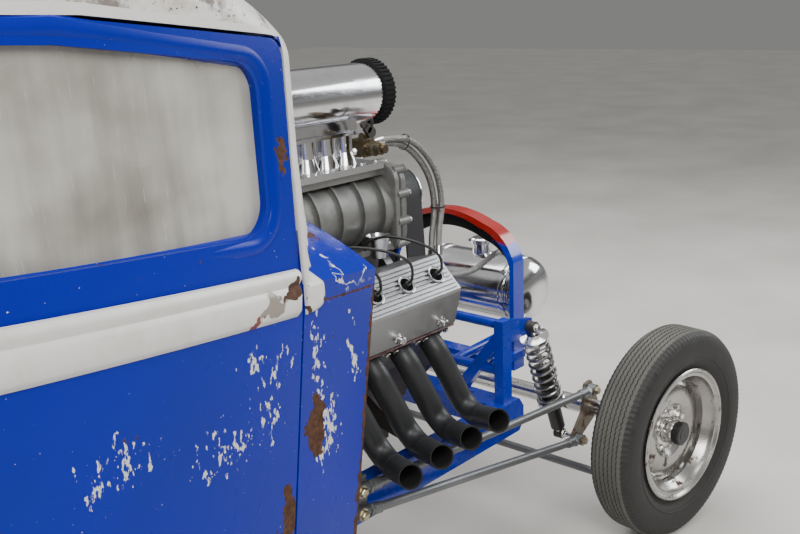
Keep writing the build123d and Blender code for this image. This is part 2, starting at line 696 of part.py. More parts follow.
def injector_and_scoop():
    d0 = BLOWER_FRONT_D + 22
    plate_low = BLOWER_TOP + SEAT_GAP
    plate = block(fx(d0 + 410), fx(d0), -112, 112, plate_low, plate_low + PLATE_T)
    base = plate_low + PLATE_T
    grounded = (Align.CENTER, Align.CENTER, Align.MIN)
    pieces = [plate]
    for i in range(4):
        d = d0 + 82 + RAM_PITCH * i
        for s in (1, -1):
            place = Pos(fx(d), s * RAM_Y, base)
            pieces.append(place * Cone(RAM_R + 11, RAM_R, 34, align=grounded))
            pieces.append(place * Cylinder(RAM_R, RAM_H, align=grounded))
    rail_d = (d0 + 46, d0 + 82 + RAM_PITCH * 3 + 40)
    pieces.append(block(fx(rail_d[1]), fx(rail_d[0]), -74, 74, base + RAM_H - 1, base + RAM_H + 8))
    save(fuse(pieces), "injector")

    back = SCOOP_FRONT_D + SCOOP_L
    outer = rod((fx(back), 0, SCOOP_Z), (fx(SCOOP_FRONT_D), 0, SCOOP_Z), SCOOP_R)
    bore = rod((fx(back - 60), 0, SCOOP_Z), (fx(SCOOP_FRONT_D - 5), 0, SCOOP_Z), SCOOP_R - 3)
    saddle_low = base + RAM_H + 8 + SEAT_GAP
    saddle = block(fx(rail_d[1]), fx(rail_d[0]), -60, 60, saddle_low, saddle_low + SADDLE_H)
    save(fuse([outer, saddle]) - bore, "scoop")
    ring = tube((fx(SCOOP_FRONT_D + 42), 0, SCOOP_Z), (fx(SCOOP_FRONT_D + 4), 0, SCOOP_Z),
                SCOOP_R + BAND_T, SCOOP_R + SEAT_GAP)
    tooth_w = 2 * math.pi * (SCOOP_R + BAND_T) / BAND_TEETH * 0.5
    teeth = []
    for i in range(BAND_TEETH):
        tooth = Pos(0, 0, SCOOP_R + BAND_T) * Box(38, tooth_w, 6)
        turn = Rot(360 / BAND_TEETH * i, 0, 0)
        teeth.append(Pos(fx(SCOOP_FRONT_D + 23), 0, SCOOP_Z) * turn * tooth)
    save(fuse([ring] + teeth), "scoop_band")


PINION_D = WHEELBASE - 188
YOKE_R = 34
GEARBOX_L = 760


def driveline():
    """Bell housing and gearbox, and the open drive shaft with a joint at each end."""
    z = CRANK_Z
    start = FIRST_BORE_D + 3 * BORE_PITCH + BLOCK_BEHIND + SEAT_GAP
    bell = loft([Plane(origin=(fx(start), 0, z), z_dir=(-1, 0, 0)) * Circle(185),
                 Plane(origin=(fx(start + 190), 0, z - 20), z_dir=(-1, 0, 0)) * Circle(110)])
    case = rod((fx(start + 190), 0, z - 20), (fx(start + 560), 0, z - 30), 105)
    tail = rod((fx(start + 560), 0, z - 30), (fx(start + GEARBOX_L), 0, z - 40), 52)
    d, tube_z, tube_r = CROSS_TUBES[0]
    pad = block(fx(d + 35), fx(d - 35), -45, 45, tube_z + tube_r + SEAT_GAP, z - 80)
    front = (fx(start + GEARBOX_L + SEAT_GAP + YOKE_R), 0, z - 40)
    rear = (fx(PINION_D - SEAT_GAP - YOKE_R), 0, REAR_TYRE_R + 5)
    shaft = fuse([rod(rear, front, 30), Pos(*front) * Sphere(YOKE_R), Pos(*rear) * Sphere(YOKE_R)])
    save(Compound(children=[fuse([bell, case, tail, pad]), shaft]), "driveline")


AXLE_TUBE_R = 40


def rear_axle():
    z = REAR_TYRE_R
    x = REAR_AXLE_X
    end = HALF_REAR + HUB_IN - 1
    pieces = [
        rod((x, -end, z), (x, end, z), AXLE_TUBE_R),
        Pos(x, 0, z) * Sphere(150),
        rod((x + 120, 0, z + 4), (x + 188, 0, z + 5), 58),
        rod((x, -end - SPINDLE_DEPTH, z), (x, end + SPINDLE_DEPTH, z), SPINDLE_R),
    ]
    for side in (1, -1):
        y0, y1 = sorted((side * (end - 18), side * end))
        pieces.append(disc_y(x, y0, y1, z, 120))
    save(fuse(pieces), "rear_axle")


LADDER_Y = 270
REAR_COIL_Y = 200


def rear_suspension():
    """Ladder bars from the rear axle forward to the frame, and rear coil-overs."""
    z = REAR_TYRE_R
    ladders, coils = [], []
    for side in (1, -1):
        y = side * LADDER_Y
        front = (fx(2180), y, 392)
        bars = [rod((REAR_AXLE_X, y, z + s * 58), front, 14) for s in (1, -1)]
        half = 75
        plate = side_prism([(WHEELBASE - 50, z - half), (WHEELBASE + 50, z - half),
                            (WHEELBASE + 50, z + half), (WHEELBASE - 50, z + half)], y - 8, y + 8)
        hole = disc_y(REAR_AXLE_X, y - 20, y + 20, z, AXLE_TUBE_R + SEAT_GAP)
        strut = rod((fx(2560), y, z + 34), (fx(2560), y, z - 34), 8)
        eye = disc_y(front[0], y - side * 14, side * (RAIL_Y - RAIL_W / 2 - SEAT_GAP), front[2], 20)
        ladders.append(fuse(bars + [plate, eye, strut]) - hole)

        y = side * REAR_COIL_Y
        x = fx(2990)
        low, top = 405, 560
        body = fuse([rod((x, y, low), (x, y, low + 70), 22), rod((x, y, low + 66), (x, y, top - 10), 9),
                     tube((x, y, low + 40), (x, y, top - 22), 40, 30),
                     rod((x, y, low + 34), (x, y, low + 42), 43), rod((x, y, top - 24), (x, y, top - 14), 43)])
        eyes = [disc_y(x, y - 13, y + 13, low, 17),
                rod((x, y, top - 16), (x, y, 600 - 24 - SEAT_GAP), 15)]
        lug = block(x, REAR_AXLE_X - AXLE_TUBE_R - SEAT_GAP, y - 12, y + 12, low - 14, low + 14)
        coils.append(fuse([body, lug] + eyes))
    save(Compound(children=ladders), "ladder_bars")
    save(Compound(children=coils), "coilovers_rear")


# Body

# body stations: d behind the front axle, half-width at the belt, belt height,
# height of the crown on the centre line, height of the lower edge, wall thickness
STATIONS = (
    (1100, 490, 1065, 1180, 440, 6),
    (1420, 575, 1113, 1262, 440, WALL),
    (2000, 680, 1183, 1300, 470, WALL),
    (2500, 722, 1232, 1340, 500, WALL),
    (3050, 690, 1205, 1310, 560, WALL),
    (3620, 560, 950, 1010, 640, WALL),
)
# cabin stations: d, half-width at the belt, belt height, half-width at the eaves,
# height of the eaves' corner, roof crown height
CABIN = (
    (1372, 563, 1107, 545, 1600, 1625),
    (1480, 585, 1120, 568, 1665, 1702),
    (2050, 686, 1188, 645, 1722, 1768),
    (2500, 720, 1230, 640, 1705, 1755),
    (2900, 700, 1215, 560, 1540, 1590),
)
EAVES_R = 62
# the door window, door and roof outlines as (d, z) points
WINDOW = ((1480, 1228), (1480, 1545), (1900, 1602), (2260, 1622), (2260, 1313))
DOOR = ((1490, 500), (1393, 1060), (1388, 1588), (1850, 1642), (2380, 1662), (2400, 530))
QUARTER = ((2480, 1330), (2480, 1610), (2600, 1590), (2730, 1500), (2760, 1350))
DRIP = ((1250, 1570), (1480, 1612), (1850, 1660), (2350, 1684), (2600, 1650), (3000, 1480))
WINDOW_R = 62
SCREEN = (455, 1205, 1530)
BACKLIGHT = (330, 1360, 1510)


def lower_section(station, inset):
    d, half, belt, crown, low, wall = station
    inset = inset * wall / WALL
    half, belt_in, crown = half - inset, belt - inset * 0.3, crown - inset
    low = low - (20 if inset else 0)
    outline = (Polyline((-half, belt_in), (-half, low), (half, low), (half, belt_in))
               + ThreePointArc((half, belt_in), (0, crown), (-half, belt_in)))
    return cross_plane(d) * make_face(outline)


def cabin_section(station, inset):
    d, half, belt, half_top, eaves, crown = station
    half, half_top, eaves, crown = half - inset, half_top - inset, eaves - inset * 0.9, crown - inset
    low = belt - 60
    outline = (Polyline((-half_top, eaves), (-half, low), (half, low), (half_top, eaves))
               + ThreePointArc((half_top, eaves), (0, crown), (-half_top, eaves)))
    face = make_face(outline)
    corners = face.vertices().group_by(Axis.Y)[-1]
    return cross_plane(d) * fillet(corners, EAVES_R - inset * 0.7)


def body_solid(inset):
    """The body's form, moved inward by inset."""
    lower_form = loft([lower_section(s, inset) for s in STATIONS])
    cabin_form = loft([cabin_section(s, inset) for s in CABIN])
    if inset:
        lower_form = lower_form & block(fx(TAIL_D - inset), fx(COWL_D), -CUT_Y, CUT_Y, 0, CUT_Z)
        keep = block(fx(CABIN[-1][0] - inset), fx(CABIN[0][0] + inset), -CUT_Y, CUT_Y, 0, CUT_Z)
        cabin_form = cabin_form & keep
    return lower_form + cabin_form


def outline_prism(points, radius, grow=0.0):
    """A prism right across the car of a rounded (d, z) outline; grow widens it."""
    face = make_face(Polyline(*[(fx(d), z) for d, z in points], close=True))
    if grow:
        face = offset(face, grow, kind=Kind.INTERSECTION)
    face = fillet(face.vertices(), radius)
    return extrude(Plane.XZ.offset(-CUT_Y) * face, amount=2 * CUT_Y)


def cross_window(half, z0, z1, d0, d1):
    face = Pos(0, (z0 + z1) / 2) * RectangleRounded(2 * half, z1 - z0, 45)
    return cross_slab(face, d0, d1)


# the inner limit of the side panels, the lid's half-width, the gap round the rear tyres
SIDES = 525
LID_HALF = 420
ARCH_GAP = 60


# the deck lid's hinge line: d, height and half-spacing of the two hinges
LID_HINGE = (2993, 1324, 220)


def lid_hinges():
    """Barrels and leaves on the skin: those of the body with the pin, and those of the lid."""
    d, z, half = LID_HINGE
    x, r, pin_r = fx(d), 9, 5
    fixed, moving = [], []
    for y in (-half, half):
        pin = disc_y(x, y - 40, y + 40, z, pin_r)
        fixed.append(pin)
        for y0, y1 in ((y - 40, y - 21), (y + 21, y + 40)):
            fixed.append(disc_y(x, y0, y1, z, r))
            fixed.append(block(x + 4, x + 34, y0, y1, z - 34, z - 3))
        knuckle = disc_y(x, y - 20, y + 20, z, r) + block(x - 34, x - 4, y - 20, y + 20, z - 38, z - 3)
        moving.append(knuckle - disc_y(x, y - 41, y + 41, z, pin_r + PIN_CLEAR))
    return fixed, moving


def body():
    shell = body_solid(0) - body_solid(WALL)
    nose = side_prism([(900, 300), (1255, 300), (1255, 450), (1100, 1066), (1100, 1300), (900, 1300)],
                      -CUT_Y, CUT_Y)
    arch = disc_y(REAR_AXLE_X, -CUT_Y, CUT_Y, REAR_TYRE_R, REAR_TYRE_R + ARCH_GAP)
    middle = block(-CUT_X, CUT_X, -SIDES, SIDES, 0, CUT_Z)
    rail_room = block(fx(TAIL_D - WALL - 5), fx(3000), -400, 400, 400, RAIL_TOP + KICK_H + 6)
    doors = (shell & (outline_prism(DOOR, 40, -PANEL_GAP) - middle)) - outline_prism(WINDOW, WINDOW_R)
    lid_box = (fx(3520), fx(2990), 800, 1500)
    lid = shell & block(lid_box[0] + PANEL_GAP, lid_box[1] - PANEL_GAP, -LID_HALF + PANEL_GAP,
                        LID_HALF - PANEL_GAP, lid_box[2], lid_box[3])
    shell = shell - (outline_prism(DOOR, 40) - middle)
    shell = shell - block(lid_box[0], lid_box[1], -LID_HALF, LID_HALF, lid_box[2], lid_box[3])
    shell = shell - outline_prism(QUARTER, 40) - nose - (arch - middle) - rail_room
    shell = shell - cross_window(*SCREEN, 1300, 1460) - cross_window(*BACKLIGHT, 2750, 3000)
    roof_zone = side_prism(list(DRIP) + [(DRIP[-1][0], CUT_Z), (DRIP[0][0], CUT_Z)], -CUT_Y, CUT_Y)
    fixed, moving = lid_hinges()
    save(fuse([shell - roof_zone] + fixed), "body_shell")
    save(shell & roof_zone, "roof")
    save(fuse([lid] + moving), "deck_lid")
    for solid in doors.solids():
        save(solid, "door_left" if solid.center().Y > 0 else "door_right")


FLOOR_Z = RAIL_TOP + SEAT_GAP
FLOOR_T = 6
FIREWALL_D = 1290
STEP_D = 2420
TUNNEL_HALF = 145
TUNNEL_Z = CRANK_Z - 20
TUB_Y = 450
TUB_R = REAR_TYRE_R + ARCH_GAP + 12
FLOOR_REAR_D = 3540


def arch_hole(half):
    """The transmission's hole in the firewall."""
    front, back = fx(FIREWALL_D - 30), fx(FIREWALL_D + 20)
    return (block(back, front, -half, half, 300, TUNNEL_Z)
            + rod((back, 0, TUNNEL_Z), (front, 0, TUNNEL_Z), half + 10))


def floor():
    room = body_solid(WALL + SEAT_GAP)
    z0, z1 = FLOOR_Z, FLOOR_Z + FLOOR_T
    wide = CUT_Y
    back_z = RAIL_TOP + KICK_H + 8
    plate = block(fx(STEP_D), fx(FIREWALL_D), -wide, wide, z0, z1)
    back = block(fx(FLOOR_REAR_D), fx(STEP_D), -wide, wide, back_z, back_z + FLOOR_T)
    riser = block(fx(STEP_D + FLOOR_T), fx(STEP_D), -wide, wide, z0, back_z + FLOOR_T)

    def arch(half):
        return (block(fx(STEP_D), fx(FIREWALL_D), -half, half, z0 - 1, TUNNEL_Z)
                + rod((fx(STEP_D), 0, TUNNEL_Z), (fx(FIREWALL_D), 0, TUNNEL_Z), half))

    above = block(-CUT_X, CUT_X, -wide, wide, z0, CUT_Z)
    tunnel = (arch(TUNNEL_HALF + FLOOR_T) - arch(TUNNEL_HALF)) & above
    floor_parts = (plate - arch(TUNNEL_HALF)) + back + riser + tunnel
    hollow = disc_y(REAR_AXLE_X, -wide, wide, REAR_TYRE_R, TUB_R)
    sides = block(-CUT_X, CUT_X, -TUB_Y, TUB_Y, 0, CUT_Z)
    shells = disc_y(REAR_AXLE_X, -wide, wide, REAR_TYRE_R, TUB_R + FLOOR_T) - hollow
    discs = disc_y(REAR_AXLE_X, -TUB_Y - FLOOR_T, TUB_Y + FLOOR_T, REAR_TYRE_R, TUB_R + FLOOR_T)
    rear_only = block(fx(FLOOR_REAR_D), fx(STEP_D), -wide, wide, z0, CUT_Z)
    tubs = ((shells - sides) + (discs - sides)) & rear_only
    floor_parts = (floor_parts - (hollow - sides)) + tubs
    rails = [block(fx(FLOOR_REAR_D), fx(KICK_D - 2), s * RAIL_Y - RAIL_W / 2 - 2, s * RAIL_Y + RAIL_W / 2 + 2,
                   400, back_z - 1) for s in (1, -1)]
    shaft_room = block(fx(STEP_D + 10), fx(STEP_D - 10), -TUNNEL_HALF, TUNNEL_HALF, 400, TUNNEL_Z)
    save((floor_parts & room) - rails - shaft_room, "floor_pan")
    wall = block(fx(FIREWALL_D - SEAT_GAP), fx(FIREWALL_D - SEAT_GAP - 4), -wide, wide, z0, 1400)
    wall = (wall & room) - arch_hole(TUNNEL_HALF + 30)
    save(wall, "firewall")


SEAT_Y = 350


def interior():
    seats = []
    for side in (1, -1):
        y0, y1 = side * SEAT_Y - 180, side * SEAT_Y + 180
        low = FLOOR_Z + FLOOR_T + SEAT_GAP
        cushion = side_prism([(2200, low), (1790, low), (1760, 640), (2130, 600)], y0, y1)
        back = side_prism([(2240, low + 20), (2110, 600), (2230, 1130), (2300, 1130)], y0, y1)
        seats.append(fuse([cushion, back]))
    save(Compound(children=seats), "seats")
    hoop_y, hoop_d, top, bend, r = 560, 2360, 1600, 150, 20
    low = FLOOR_Z + FLOOR_T + SEAT_GAP
    legs = [rod((fx(hoop_d), s * hoop_y, low), (fx(hoop_d), s * hoop_y, top - bend), r) for s in (1, -1)]
    slants = [rod((fx(hoop_d), s * hoop_y, top - bend), (fx(hoop_d), s * (hoop_y - bend), top), r)
              for s in (1, -1)]
    knots = [Pos(fx(hoop_d), s * hoop_y, top - bend) * Sphere(r) for s in (1, -1)]
    knots += [Pos(fx(hoop_d), s * (hoop_y - bend), top) * Sphere(r) for s in (1, -1)]
    cross = rod((fx(hoop_d), -(hoop_y - bend), top), (fx(hoop_d), hoop_y - bend, top), r)
    save(fuse(legs + slants + knots + [cross]), "roll_hoop")
    hub = Vector(fx(1650), SEAT_Y, 1060)
    start = Vector(fx(FIREWALL_D + 8), SEAT_Y, 900)
    plane = Plane(origin=hub, z_dir=start - hub)
    shaft_r = 10

    def along(t):
        return tuple(hub + (start - hub).normalized() * t)

    flange = rod((fx(FIREWALL_D + 8), SEAT_Y, start.Z), (fx(FIREWALL_D), SEAT_Y, start.Z), 42)
    save(fuse([rod(tuple(start), along(16), 18), rod(tuple(start), along(2), shaft_r), flange]),
         "steering_column")
    rim = plane * Solid.make_torus(170, 14)
    spokes = [plane * Rot(0, 0, a) * Pos(85, 0, 0) * Box(170, 24, 8) for a in (90, 210, 330)]
    bore = rod(along(0), along(12), shaft_r + PIN_CLEAR)
    save(fuse([rim, plane * Cylinder(34, 20)] + spokes) - bore, "steering_wheel")


def glass():
    """Panes in the middle of the wall, one node each."""
    skin = body_solid(WALL / 2 - 3) - body_solid(WALL / 2 + 3)
    windows = {"door_glass": outline_prism(WINDOW, WINDOW_R - SEAT_GAP, -SEAT_GAP),
               "quarter_glass": outline_prism(QUARTER, 40 - SEAT_GAP, -SEAT_GAP)}
    for kind, prism in windows.items():
        panes = skin & prism
        sides = {}
        for side, name in ((1, "left"), (-1, "right")):
            y0, y1 = sorted((side * SIDES, side * CUT_Y))
            sides[name] = panes & block(-CUT_X, CUT_X, y0, y1, 0, CUT_Z)
        if kind == "quarter_glass":
            save(Compound(children=list(sides.values())), kind)
        else:
            for name, pane in sides.items():
                save(pane, f"{kind}_{name}")

    def inner(half, z0, z1):
        return half - SEAT_GAP, z0 + SEAT_GAP, z1 - SEAT_GAP

    save(skin & cross_window(*inner(*SCREEN), 1300, 1460), "windscreen")
    save(skin & cross_window(*inner(*BACKLIGHT), 2750, 3000), "rear_window")


front_wheels()
rear_wheels()
front_axle()
knuckles()
tie_rod()
radius_rods()
front_coilovers()
frame()
front_towers()
grille_shell()
front_tank()
engine_block()
heads_and_covers()
headers()
intake_manifold()
blower()
blower_drive()
injector_and_scoop()
driveline()
rear_axle()
rear_suspension()
body()
floor()
interior()
glass()
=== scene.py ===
"""Looks of the street rod drag coupe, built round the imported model.

Metres. X forward, Y to the car's left, Z up, as in the CAD. "d" is a length measured
rearward from the front axle, so a place is given as (d, y, z).
"""

import json
from math import cos, exp, hypot, pi, radians, sin, sqrt, tan

import bmesh
import bpy
from mathutils import Matrix, Vector
from mathutils.bvhtree import BVHTree


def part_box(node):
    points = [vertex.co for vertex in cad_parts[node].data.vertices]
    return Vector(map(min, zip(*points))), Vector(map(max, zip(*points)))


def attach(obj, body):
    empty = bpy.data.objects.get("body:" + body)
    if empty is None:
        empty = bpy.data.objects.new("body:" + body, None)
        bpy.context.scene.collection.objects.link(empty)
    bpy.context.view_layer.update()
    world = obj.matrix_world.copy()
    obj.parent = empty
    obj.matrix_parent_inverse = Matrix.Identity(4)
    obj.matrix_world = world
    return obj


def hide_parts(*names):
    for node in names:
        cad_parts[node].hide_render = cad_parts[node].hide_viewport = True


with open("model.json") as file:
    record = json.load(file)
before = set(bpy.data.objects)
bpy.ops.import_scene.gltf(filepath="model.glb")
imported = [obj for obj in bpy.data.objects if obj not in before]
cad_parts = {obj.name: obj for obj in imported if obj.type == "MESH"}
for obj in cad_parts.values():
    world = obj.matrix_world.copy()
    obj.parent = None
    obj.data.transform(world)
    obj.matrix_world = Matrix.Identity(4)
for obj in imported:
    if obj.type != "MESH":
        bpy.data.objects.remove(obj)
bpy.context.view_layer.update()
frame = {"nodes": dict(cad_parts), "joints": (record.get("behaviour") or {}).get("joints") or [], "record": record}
NODES = frame["nodes"]
JOINTS = {j["name"]: j for j in frame["joints"]}

# Places that the frame gives
AXLE_X = JOINTS["steer_left"]["pos_m"][0]
FRONT_HUB = {s: Vector(JOINTS[f"front_wheel_{s}_spin"]["pos_m"]) for s in ("left", "right")}
REAR_HUB = {s: Vector(JOINTS[f"rear_wheel_{s}_spin"]["pos_m"]) for s in ("left", "right")}
FRONT_SPIN = Vector(JOINTS["front_wheel_left_spin"]["axis"])
SIDES = (("left", 1), ("right", -1))
X_AXIS, Y_AXIS, Z_AXIS = Vector((1, 0, 0)), Vector((0, 1, 0)), Vector((0, 0, 1))


def at(d, y, z):
    """A point that lies d behind the front axle."""
    return Vector((AXLE_X - d, y, z))


def link_object(name, data):
    """A new object in the scene."""
    made = bpy.data.objects.new(name, data)
    bpy.context.scene.collection.objects.link(made)
    return made


# Camera: behind the right front wheel and beside the door, as in the photograph

CAMERA_AT = Vector((-1.0309, -1.9768, 1.6521))
CAMERA_AZ, CAMERA_EL, CAMERA_ROLL = 0.73254, -0.26499, -0.03865
LENS, SENSOR = 45, 36


def make_camera():
    az, el, roll = CAMERA_AZ, CAMERA_EL, CAMERA_ROLL
    ahead = Vector((cos(el) * cos(az), cos(el) * sin(az), sin(el)))
    right = Vector((sin(az), -cos(az), 0))
    up = right.cross(ahead)
    right_r, up_r = cos(roll) * right + sin(roll) * up, cos(roll) * up - sin(roll) * right
    turn = Matrix((right_r, up_r, -ahead)).transposed()
    data = bpy.data.cameras.new("camera")
    data.lens, data.sensor_width = LENS, SENSOR
    data.clip_start, data.clip_end = 0.05, 60
    camera = link_object("camera", data)
    camera.matrix_world = Matrix.Translation(CAMERA_AT) @ turn.to_4x4()
    bpy.context.scene.camera = camera


# Materials

SHADER_SOCKETS = {"colour": "Base Color", "rough": "Roughness", "metal": "Metallic", "normal": "Normal",
                  "coat": "Coat Weight", "coat_rough": "Coat Roughness", "through": "Transmission Weight",
                  "ior": "IOR", "specular": "Specular IOR Level"}


class Field:
    """A value that varies over a surface and can be reckoned with like a number."""

    def __init__(self, look, socket):
        self.look, self.socket = look, socket

    def maths(self, how, a, b=0):
        return self.look.node("ShaderNodeMath", {0: a, 1: b}, operation=how)

    def __add__(self, other):
        return self.maths("ADD", self, other)

    __radd__ = __add__

    def __sub__(self, other):
        return self.maths("SUBTRACT", self, other)

    def __rsub__(self, other):
        return self.maths("SUBTRACT", other, self)

    def __mul__(self, other):
        return self.maths("MULTIPLY", self, other)

    def __abs__(self):
        return self.maths("ABSOLUTE", self)

    def most(self, other):
        return self.maths("MAXIMUM", self, other)

    def span(self, low, high, to_low=0, to_high=1):
        """Rescaled so that low becomes to_low and high becomes to_high, held between."""
        return self.look.node("ShaderNodeMapRange", {"Value": self, "From Min": low, "From Max": high,
                                                     "To Min": to_low, "To Max": to_high}, clamp=True)


class Look:
    """A node material whose patterns lie in the part's own metres."""

    def __init__(self, name):
        self.name = name
        self.mat = bpy.data.materials.new(name)
        self.mat.use_nodes = True
        self.tree = self.mat.node_tree
        self.place = self.node("ShaderNodeTexCoord", {}, "Object")

    def add(self, kind, inputs, **settings):
        n = self.tree.nodes.new(kind)
        for key, value in settings.items():
            setattr(n, key, value)
        for key, value in inputs.items():
            self.put(n.inputs[key], value)
        return n

    def node(self, kind, inputs, out=0, **settings):
        return Field(self, self.add(kind, inputs, **settings).outputs[out])

    def put(self, socket, value):
        if isinstance(value, Field):
            self.tree.links.new(value.socket, socket)
        else:
            socket.default_value = value

    def set(self, **values):
        for key, value in values.items():
            self.put(self.tree.nodes["Principled BSDF"].inputs[SHADER_SOCKETS[key]], value)
        return self

    def stretched(self, z):
        return self.node("ShaderNodeMapping", {"Vector": self.place, "Scale": (1, 1, z)})

    def noise(self, scale, detail=4, rough=0.55, where=None, out="Fac"):
        return self.node("ShaderNodeTexNoise", {"Vector": where or self.place, "Scale": scale,
                                                "Detail": detail, "Roughness": rough}, out)

    def vector(self, how, *inputs, out=0):
        return self.node("ShaderNodeVectorMath", dict(enumerate(inputs)), out, operation=how)

    def mix(self, share, a, b):
        return self.node("ShaderNodeMix", {0: share, 6: a, 7: b}, 2, data_type="RGBA")

    def ramp(self, value, stops):
        n = self.add("ShaderNodeValToRGB", {"Fac": value})
        set_stops(n.color_ramp.elements, stops)
        return Field(self, n.outputs[0])

    def bump(self, height, strength=0.3, distance=0.002):
        return self.node("ShaderNodeBump", {"Height": height, "Strength": strength, "Distance": distance})

    def axes(self):
        n = self.add("ShaderNodeSeparateXYZ", {0: self.place})
        return [Field(self, out) for out in n.outputs]

    def near(self, centre, size):
        """1 inside an ellipsoid with a wandering outline, falling to 0 at its edge."""
        swirl = self.vector("SUBTRACT", self.noise(22, 3, 0.5, out="Color"), (0.5, 0.5, 0.5))
        off = self.vector("SUBTRACT", self.place, tuple(centre))
        moved = self.vector("MULTIPLY_ADD", swirl, (0.11, 0.04, 0.11), off)
        return self.vector("LENGTH", self.vector("DIVIDE", moved, size), out="Value").span(0.35, 1, 1, 0)


def set_stops(elements, stops):
    while len(elements) < len(stops):
        elements.new(0.5)
    for element, (place, colour) in zip(elements, stops):
        element.position, element.color = place, colour


def rgb(r, g, b):
    return (r, g, b, 1)


def times(colour, share):
    """A colour made darker or lighter."""
    return rgb(*(min(1, share * c) for c in colour[:3]))


BLUE, BLUE_DULL = rgb(0.0006, 0.0095, 0.33), rgb(0.0024, 0.015, 0.235)
BRACE_BLUE = rgb(0.0006, 0.024, 0.4)
WHITE, PRIMER = rgb(0.72, 0.715, 0.69), rgb(0.64, 0.65, 0.66)
RUST, RUST_PALE, BARE = rgb(0.04, 0.018, 0.011), rgb(0.115, 0.052, 0.027), rgb(0.27, 0.24, 0.2)


def plain(name, colour, rough=0.4, metal=0, coat=0, vary=0.12, grain=40, bump=0.06, specular=0.5):
    """Paint, rubber or metal with a mottled colour, uneven gloss and a fine surface grain."""
    look = Look(name)
    fine = look.noise(grain * 4, 5, 0.6)
    colour = look.mix(look.noise(grain * 0.2, 3), times(colour, 1 - vary), times(colour, 1 + vary))
    return look.set(colour=colour, metal=metal, coat=coat, specular=specular,
                    rough=fine.span(0.3, 0.7, rough * 0.82, min(1, rough * 1.2)),
                    normal=look.bump(fine, bump, 0.0006))


def rusted(name, colour, rough, metal, rust_scale, amount, rust=RUST):
    """A metal or paint with rust or dirt in scattered patches."""
    look = Look(name)
    patches = look.noise(rust_scale, 6, 0.65).span(amount, amount + 0.08)
    stain = look.noise(rust_scale * 0.4, 4, 0.6).span(0.45, 0.75, 0, 0.45)
    return look.set(colour=look.mix(patches, look.mix(stain, colour, times(colour, 0.55)), rust),
                    rough=(patches + stain * 0.5).span(0, 1, rough, 0.75),
                    metal=patches.span(0, 1, metal, 0.15),
                    normal=look.bump(look.noise(rust_scale * 8) + patches, 0.15, 0.0008))


# The white windscreen pillar of the body: where its front edge, rear edge and foot blend in
PILLAR_FRONT, PILLAR_REAR, PILLAR_FOOT = (1.368, 1.372), (1.39, 1.392), (1.12, 1.124)
# How the lower edge of the white header over the doors rises and falls: from, to, rise
HEADER_START = 1.587
HEADER_RISES = ((1.4, 1.732, 0.039), (1.732, 1.912, 0.016), (1.912, 2.272, 0.013), (2.38, 2.54, -0.017),
                (2.54, 2.81, -0.098))


def cowl_wear(look, d, z, base):
    """White pillar and header, cracks and bare patches on the cowl's top; rust on its seam and front edge."""
    pillar = d.span(*PILLAR_FRONT) * d.span(*PILLAR_REAR, 1, 0) * z.span(*PILLAR_FOOT)
    line = HEADER_START
    for d0, d1, rise in HEADER_RISES:
        line = line + d.span(d0, d1, 0, rise)
    base = look.mix(pillar.most((z - line).span(0, 0.0015)), base, WHITE)
    seam_off = abs(z - ((d - 1.12) * 0.13 + 1.031))
    seam = (seam_off + look.noise(70, 4, 0.65) * 0.01).span(0.0065, 0.0085, 1, 0) * d.span(1.33, 1.335, 1, 0)
    front = 1.255 - (z - 0.45) * 0.2516
    edge_rust = (d - front - look.noise(26, 5, 0.65) * 0.06).span(-0.018, -0.014, 1, 0)
    edge_rust = edge_rust * z.span(1.02, 1.03, 1, 0)
    on_cowl = d.span(1.4, 1.41, 1, 0)
    crack = abs(look.noise(13, 4, 0.5) - 0.5).span(0.008, 0.014, 1, 0) * z.span(1.045, 1.075)
    crack = crack * look.noise(4.5, 2).span(0.5, 0.53) * on_cowl
    wear = (look.noise(16, 5, 0.6) + z.span(1.05, 1.12, 0, 0.05)).span(0.7, 0.71) * on_cowl
    return look.mix(crack.most(wear), base, PRIMER), seam.most(edge_rust)


def body_paint(name, spots, white_pillar=False):
    """Old blue gloss with white chips and rust where spots say: (kind, centre, size)."""
    look = Look(name)
    x, _, z = look.axes()
    cloud = look.noise(5, 3)
    base = look.mix(look.noise(2.2).span(0.42, 0.68) * 0.55, BLUE, BLUE_DULL)
    rust = 0
    if white_pillar:
        base, rust = cowl_wear(look, AXLE_X - x, z, base)
    chips = look.noise(160, 2, 0.5).span(0.76, 0.78) * 0.8
    flake = look.noise(75, 3, 0.6, look.stretched(0.55))
    for kind, centre, size in spots:
        mask = look.near(at(*centre), size)
        if kind == "rust":
            edge = look.noise(60, 5, 0.6) * 0.8 + look.noise(15, 3, 0.6) * 1.3
            rust = (mask + edge).span(1.42, 1.47).most(rust)
        else:
            worn = flake + mask * (0.16 if kind == "chips" else 0.1)
            chips = chips.most(worn.span(0.66, 0.69) * mask.span(0, 0.05))
    brown = look.ramp(look.noise(90, 5, 0.7), [(0.35, RUST), (0.65, RUST_PALE)])
    dull = chips.most(rust)
    return look.set(colour=look.mix(rust, look.mix(chips, base, PRIMER), brown), specular=0.2,
                    rough=(dull + cloud * 0.3).span(0, 1, 0.2, 0.75),
                    normal=look.bump(cloud * 0.25 - dull, 0.25, 0.0012))


